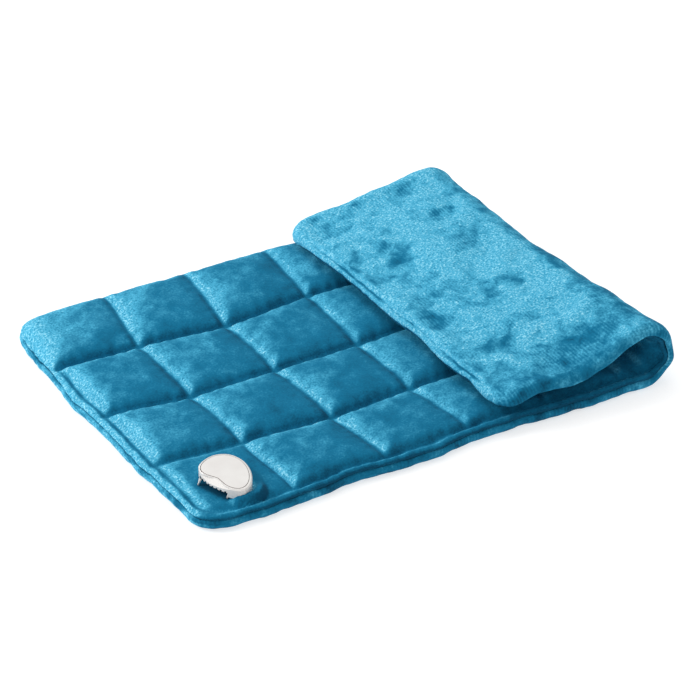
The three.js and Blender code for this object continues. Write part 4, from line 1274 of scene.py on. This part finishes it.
for piece in (quilt_lower, plain_lower, batting_lower, carrier_lower, out_lower, back_lower):
    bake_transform(piece)
for piece in (quilt_upper, plain_upper, batting_upper, carrier_upper, out_upper, back_upper):
    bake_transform(piece)
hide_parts("top_cover_main", "top_cover_bend")
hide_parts("top_cover_flap", "top_cover_bend")
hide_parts("back_cover_main", "back_cover_bend")
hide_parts("back_cover_flap", "back_cover_bend")
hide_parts("batting_main", "batting_bend")
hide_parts("batting_flap", "batting_bend")
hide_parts("wire_carrier_main", "wire_carrier_bend")
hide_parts("wire_carrier_flap", "wire_carrier_bend")
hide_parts("heating_wire_bend_out")
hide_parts("heating_wire_bend_out")
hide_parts("heating_wire_bend_back")
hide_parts("heating_wire_bend_back")

# Camera at the photograph's angle, and a plain pale studio
CAMERA_TARGET = Vector((0.0147, 0.01, 0))
CAMERA_AZIMUTH = math.radians(-30.66)
CAMERA_ELEVATION = math.radians(31.84)
CAMERA_DISTANCE = 2.511
CAMERA_LENS = 165.5
CAMERA_SENSOR = 36
CAMERA_FAR = 20
KEY_LIGHT = ((-1.6, 1.0, 1.2), 1.2, 30)
TOP_LIGHT = ((0.3, 0.5, 2.2), 1.8, 14)
SKY_STRENGTH = 0.64
FLOOR_SIZE = 12
FLOOR_GAP = 0.0004
FLOOR_GREY = (0.5, 0.5, 0.5, 1.0)
FLOOR_GLOW = 0.64
WHITE = (1.0, 1.0, 1.0, 1.0)


def aim(thing, back):
    """Turns a camera or lamp to look back along a direction."""
    thing.rotation_mode = "QUATERNION"
    thing.rotation_quaternion = (-back).to_track_quat("-Z", "Y")


def aim_camera():
    data = bpy.data.cameras.new("camera")
    data.sensor_width = CAMERA_SENSOR
    data.lens = CAMERA_LENS
    data.clip_end = CAMERA_FAR
    camera = bpy.data.objects.new("camera", data)
    bpy.context.scene.collection.objects.link(camera)
    level_share = math.cos(CAMERA_ELEVATION)
    back = Vector(
        (
            math.sin(CAMERA_AZIMUTH) * level_share,
            -math.cos(CAMERA_AZIMUTH) * level_share,
            math.sin(CAMERA_ELEVATION),
        )
    )
    camera.location = CAMERA_TARGET + back * CAMERA_DISTANCE
    aim(camera, back)
    bpy.context.scene.camera = camera


def area_light(name, place_at, size, power):
    data = bpy.data.lights.new(name, "AREA")
    data.shape = "DISK"
    data.size = size
    data.energy = power
    lamp = bpy.data.objects.new(name, data)
    bpy.context.scene.collection.objects.link(lamp)
    lamp.location = place_at
    aim(lamp, Vector(place_at))


def light_studio():
    world = bpy.data.worlds.new("studio")
    bpy.context.scene.world = world
    world.use_nodes = True
    background = world.node_tree.nodes["Background"]
    background.inputs["Color"].default_value = WHITE
    background.inputs["Strength"].default_value = SKY_STRENGTH
    area_light("key", *KEY_LIGHT)
    area_light("top", *TOP_LIGHT)
    bpy.context.scene.view_settings.view_transform = "Standard"


def lay_floor():
    bpy.ops.object.select_all(action="DESELECT")
    bpy.ops.mesh.primitive_plane_add(size=FLOOR_SIZE, location=(0, 0, -FLOOR_GAP))
    floor = bpy.context.active_object
    floor.name = "floor"
    material = Finish("floor_white").set(
        Base_Color=FLOOR_GREY,
        Roughness=0.9,
        Emission_Color=WHITE,
        Emission_Strength=FLOOR_GLOW,
    )
    floor.data.materials.append(material)


aim_camera()
light_studio()
lay_floor()
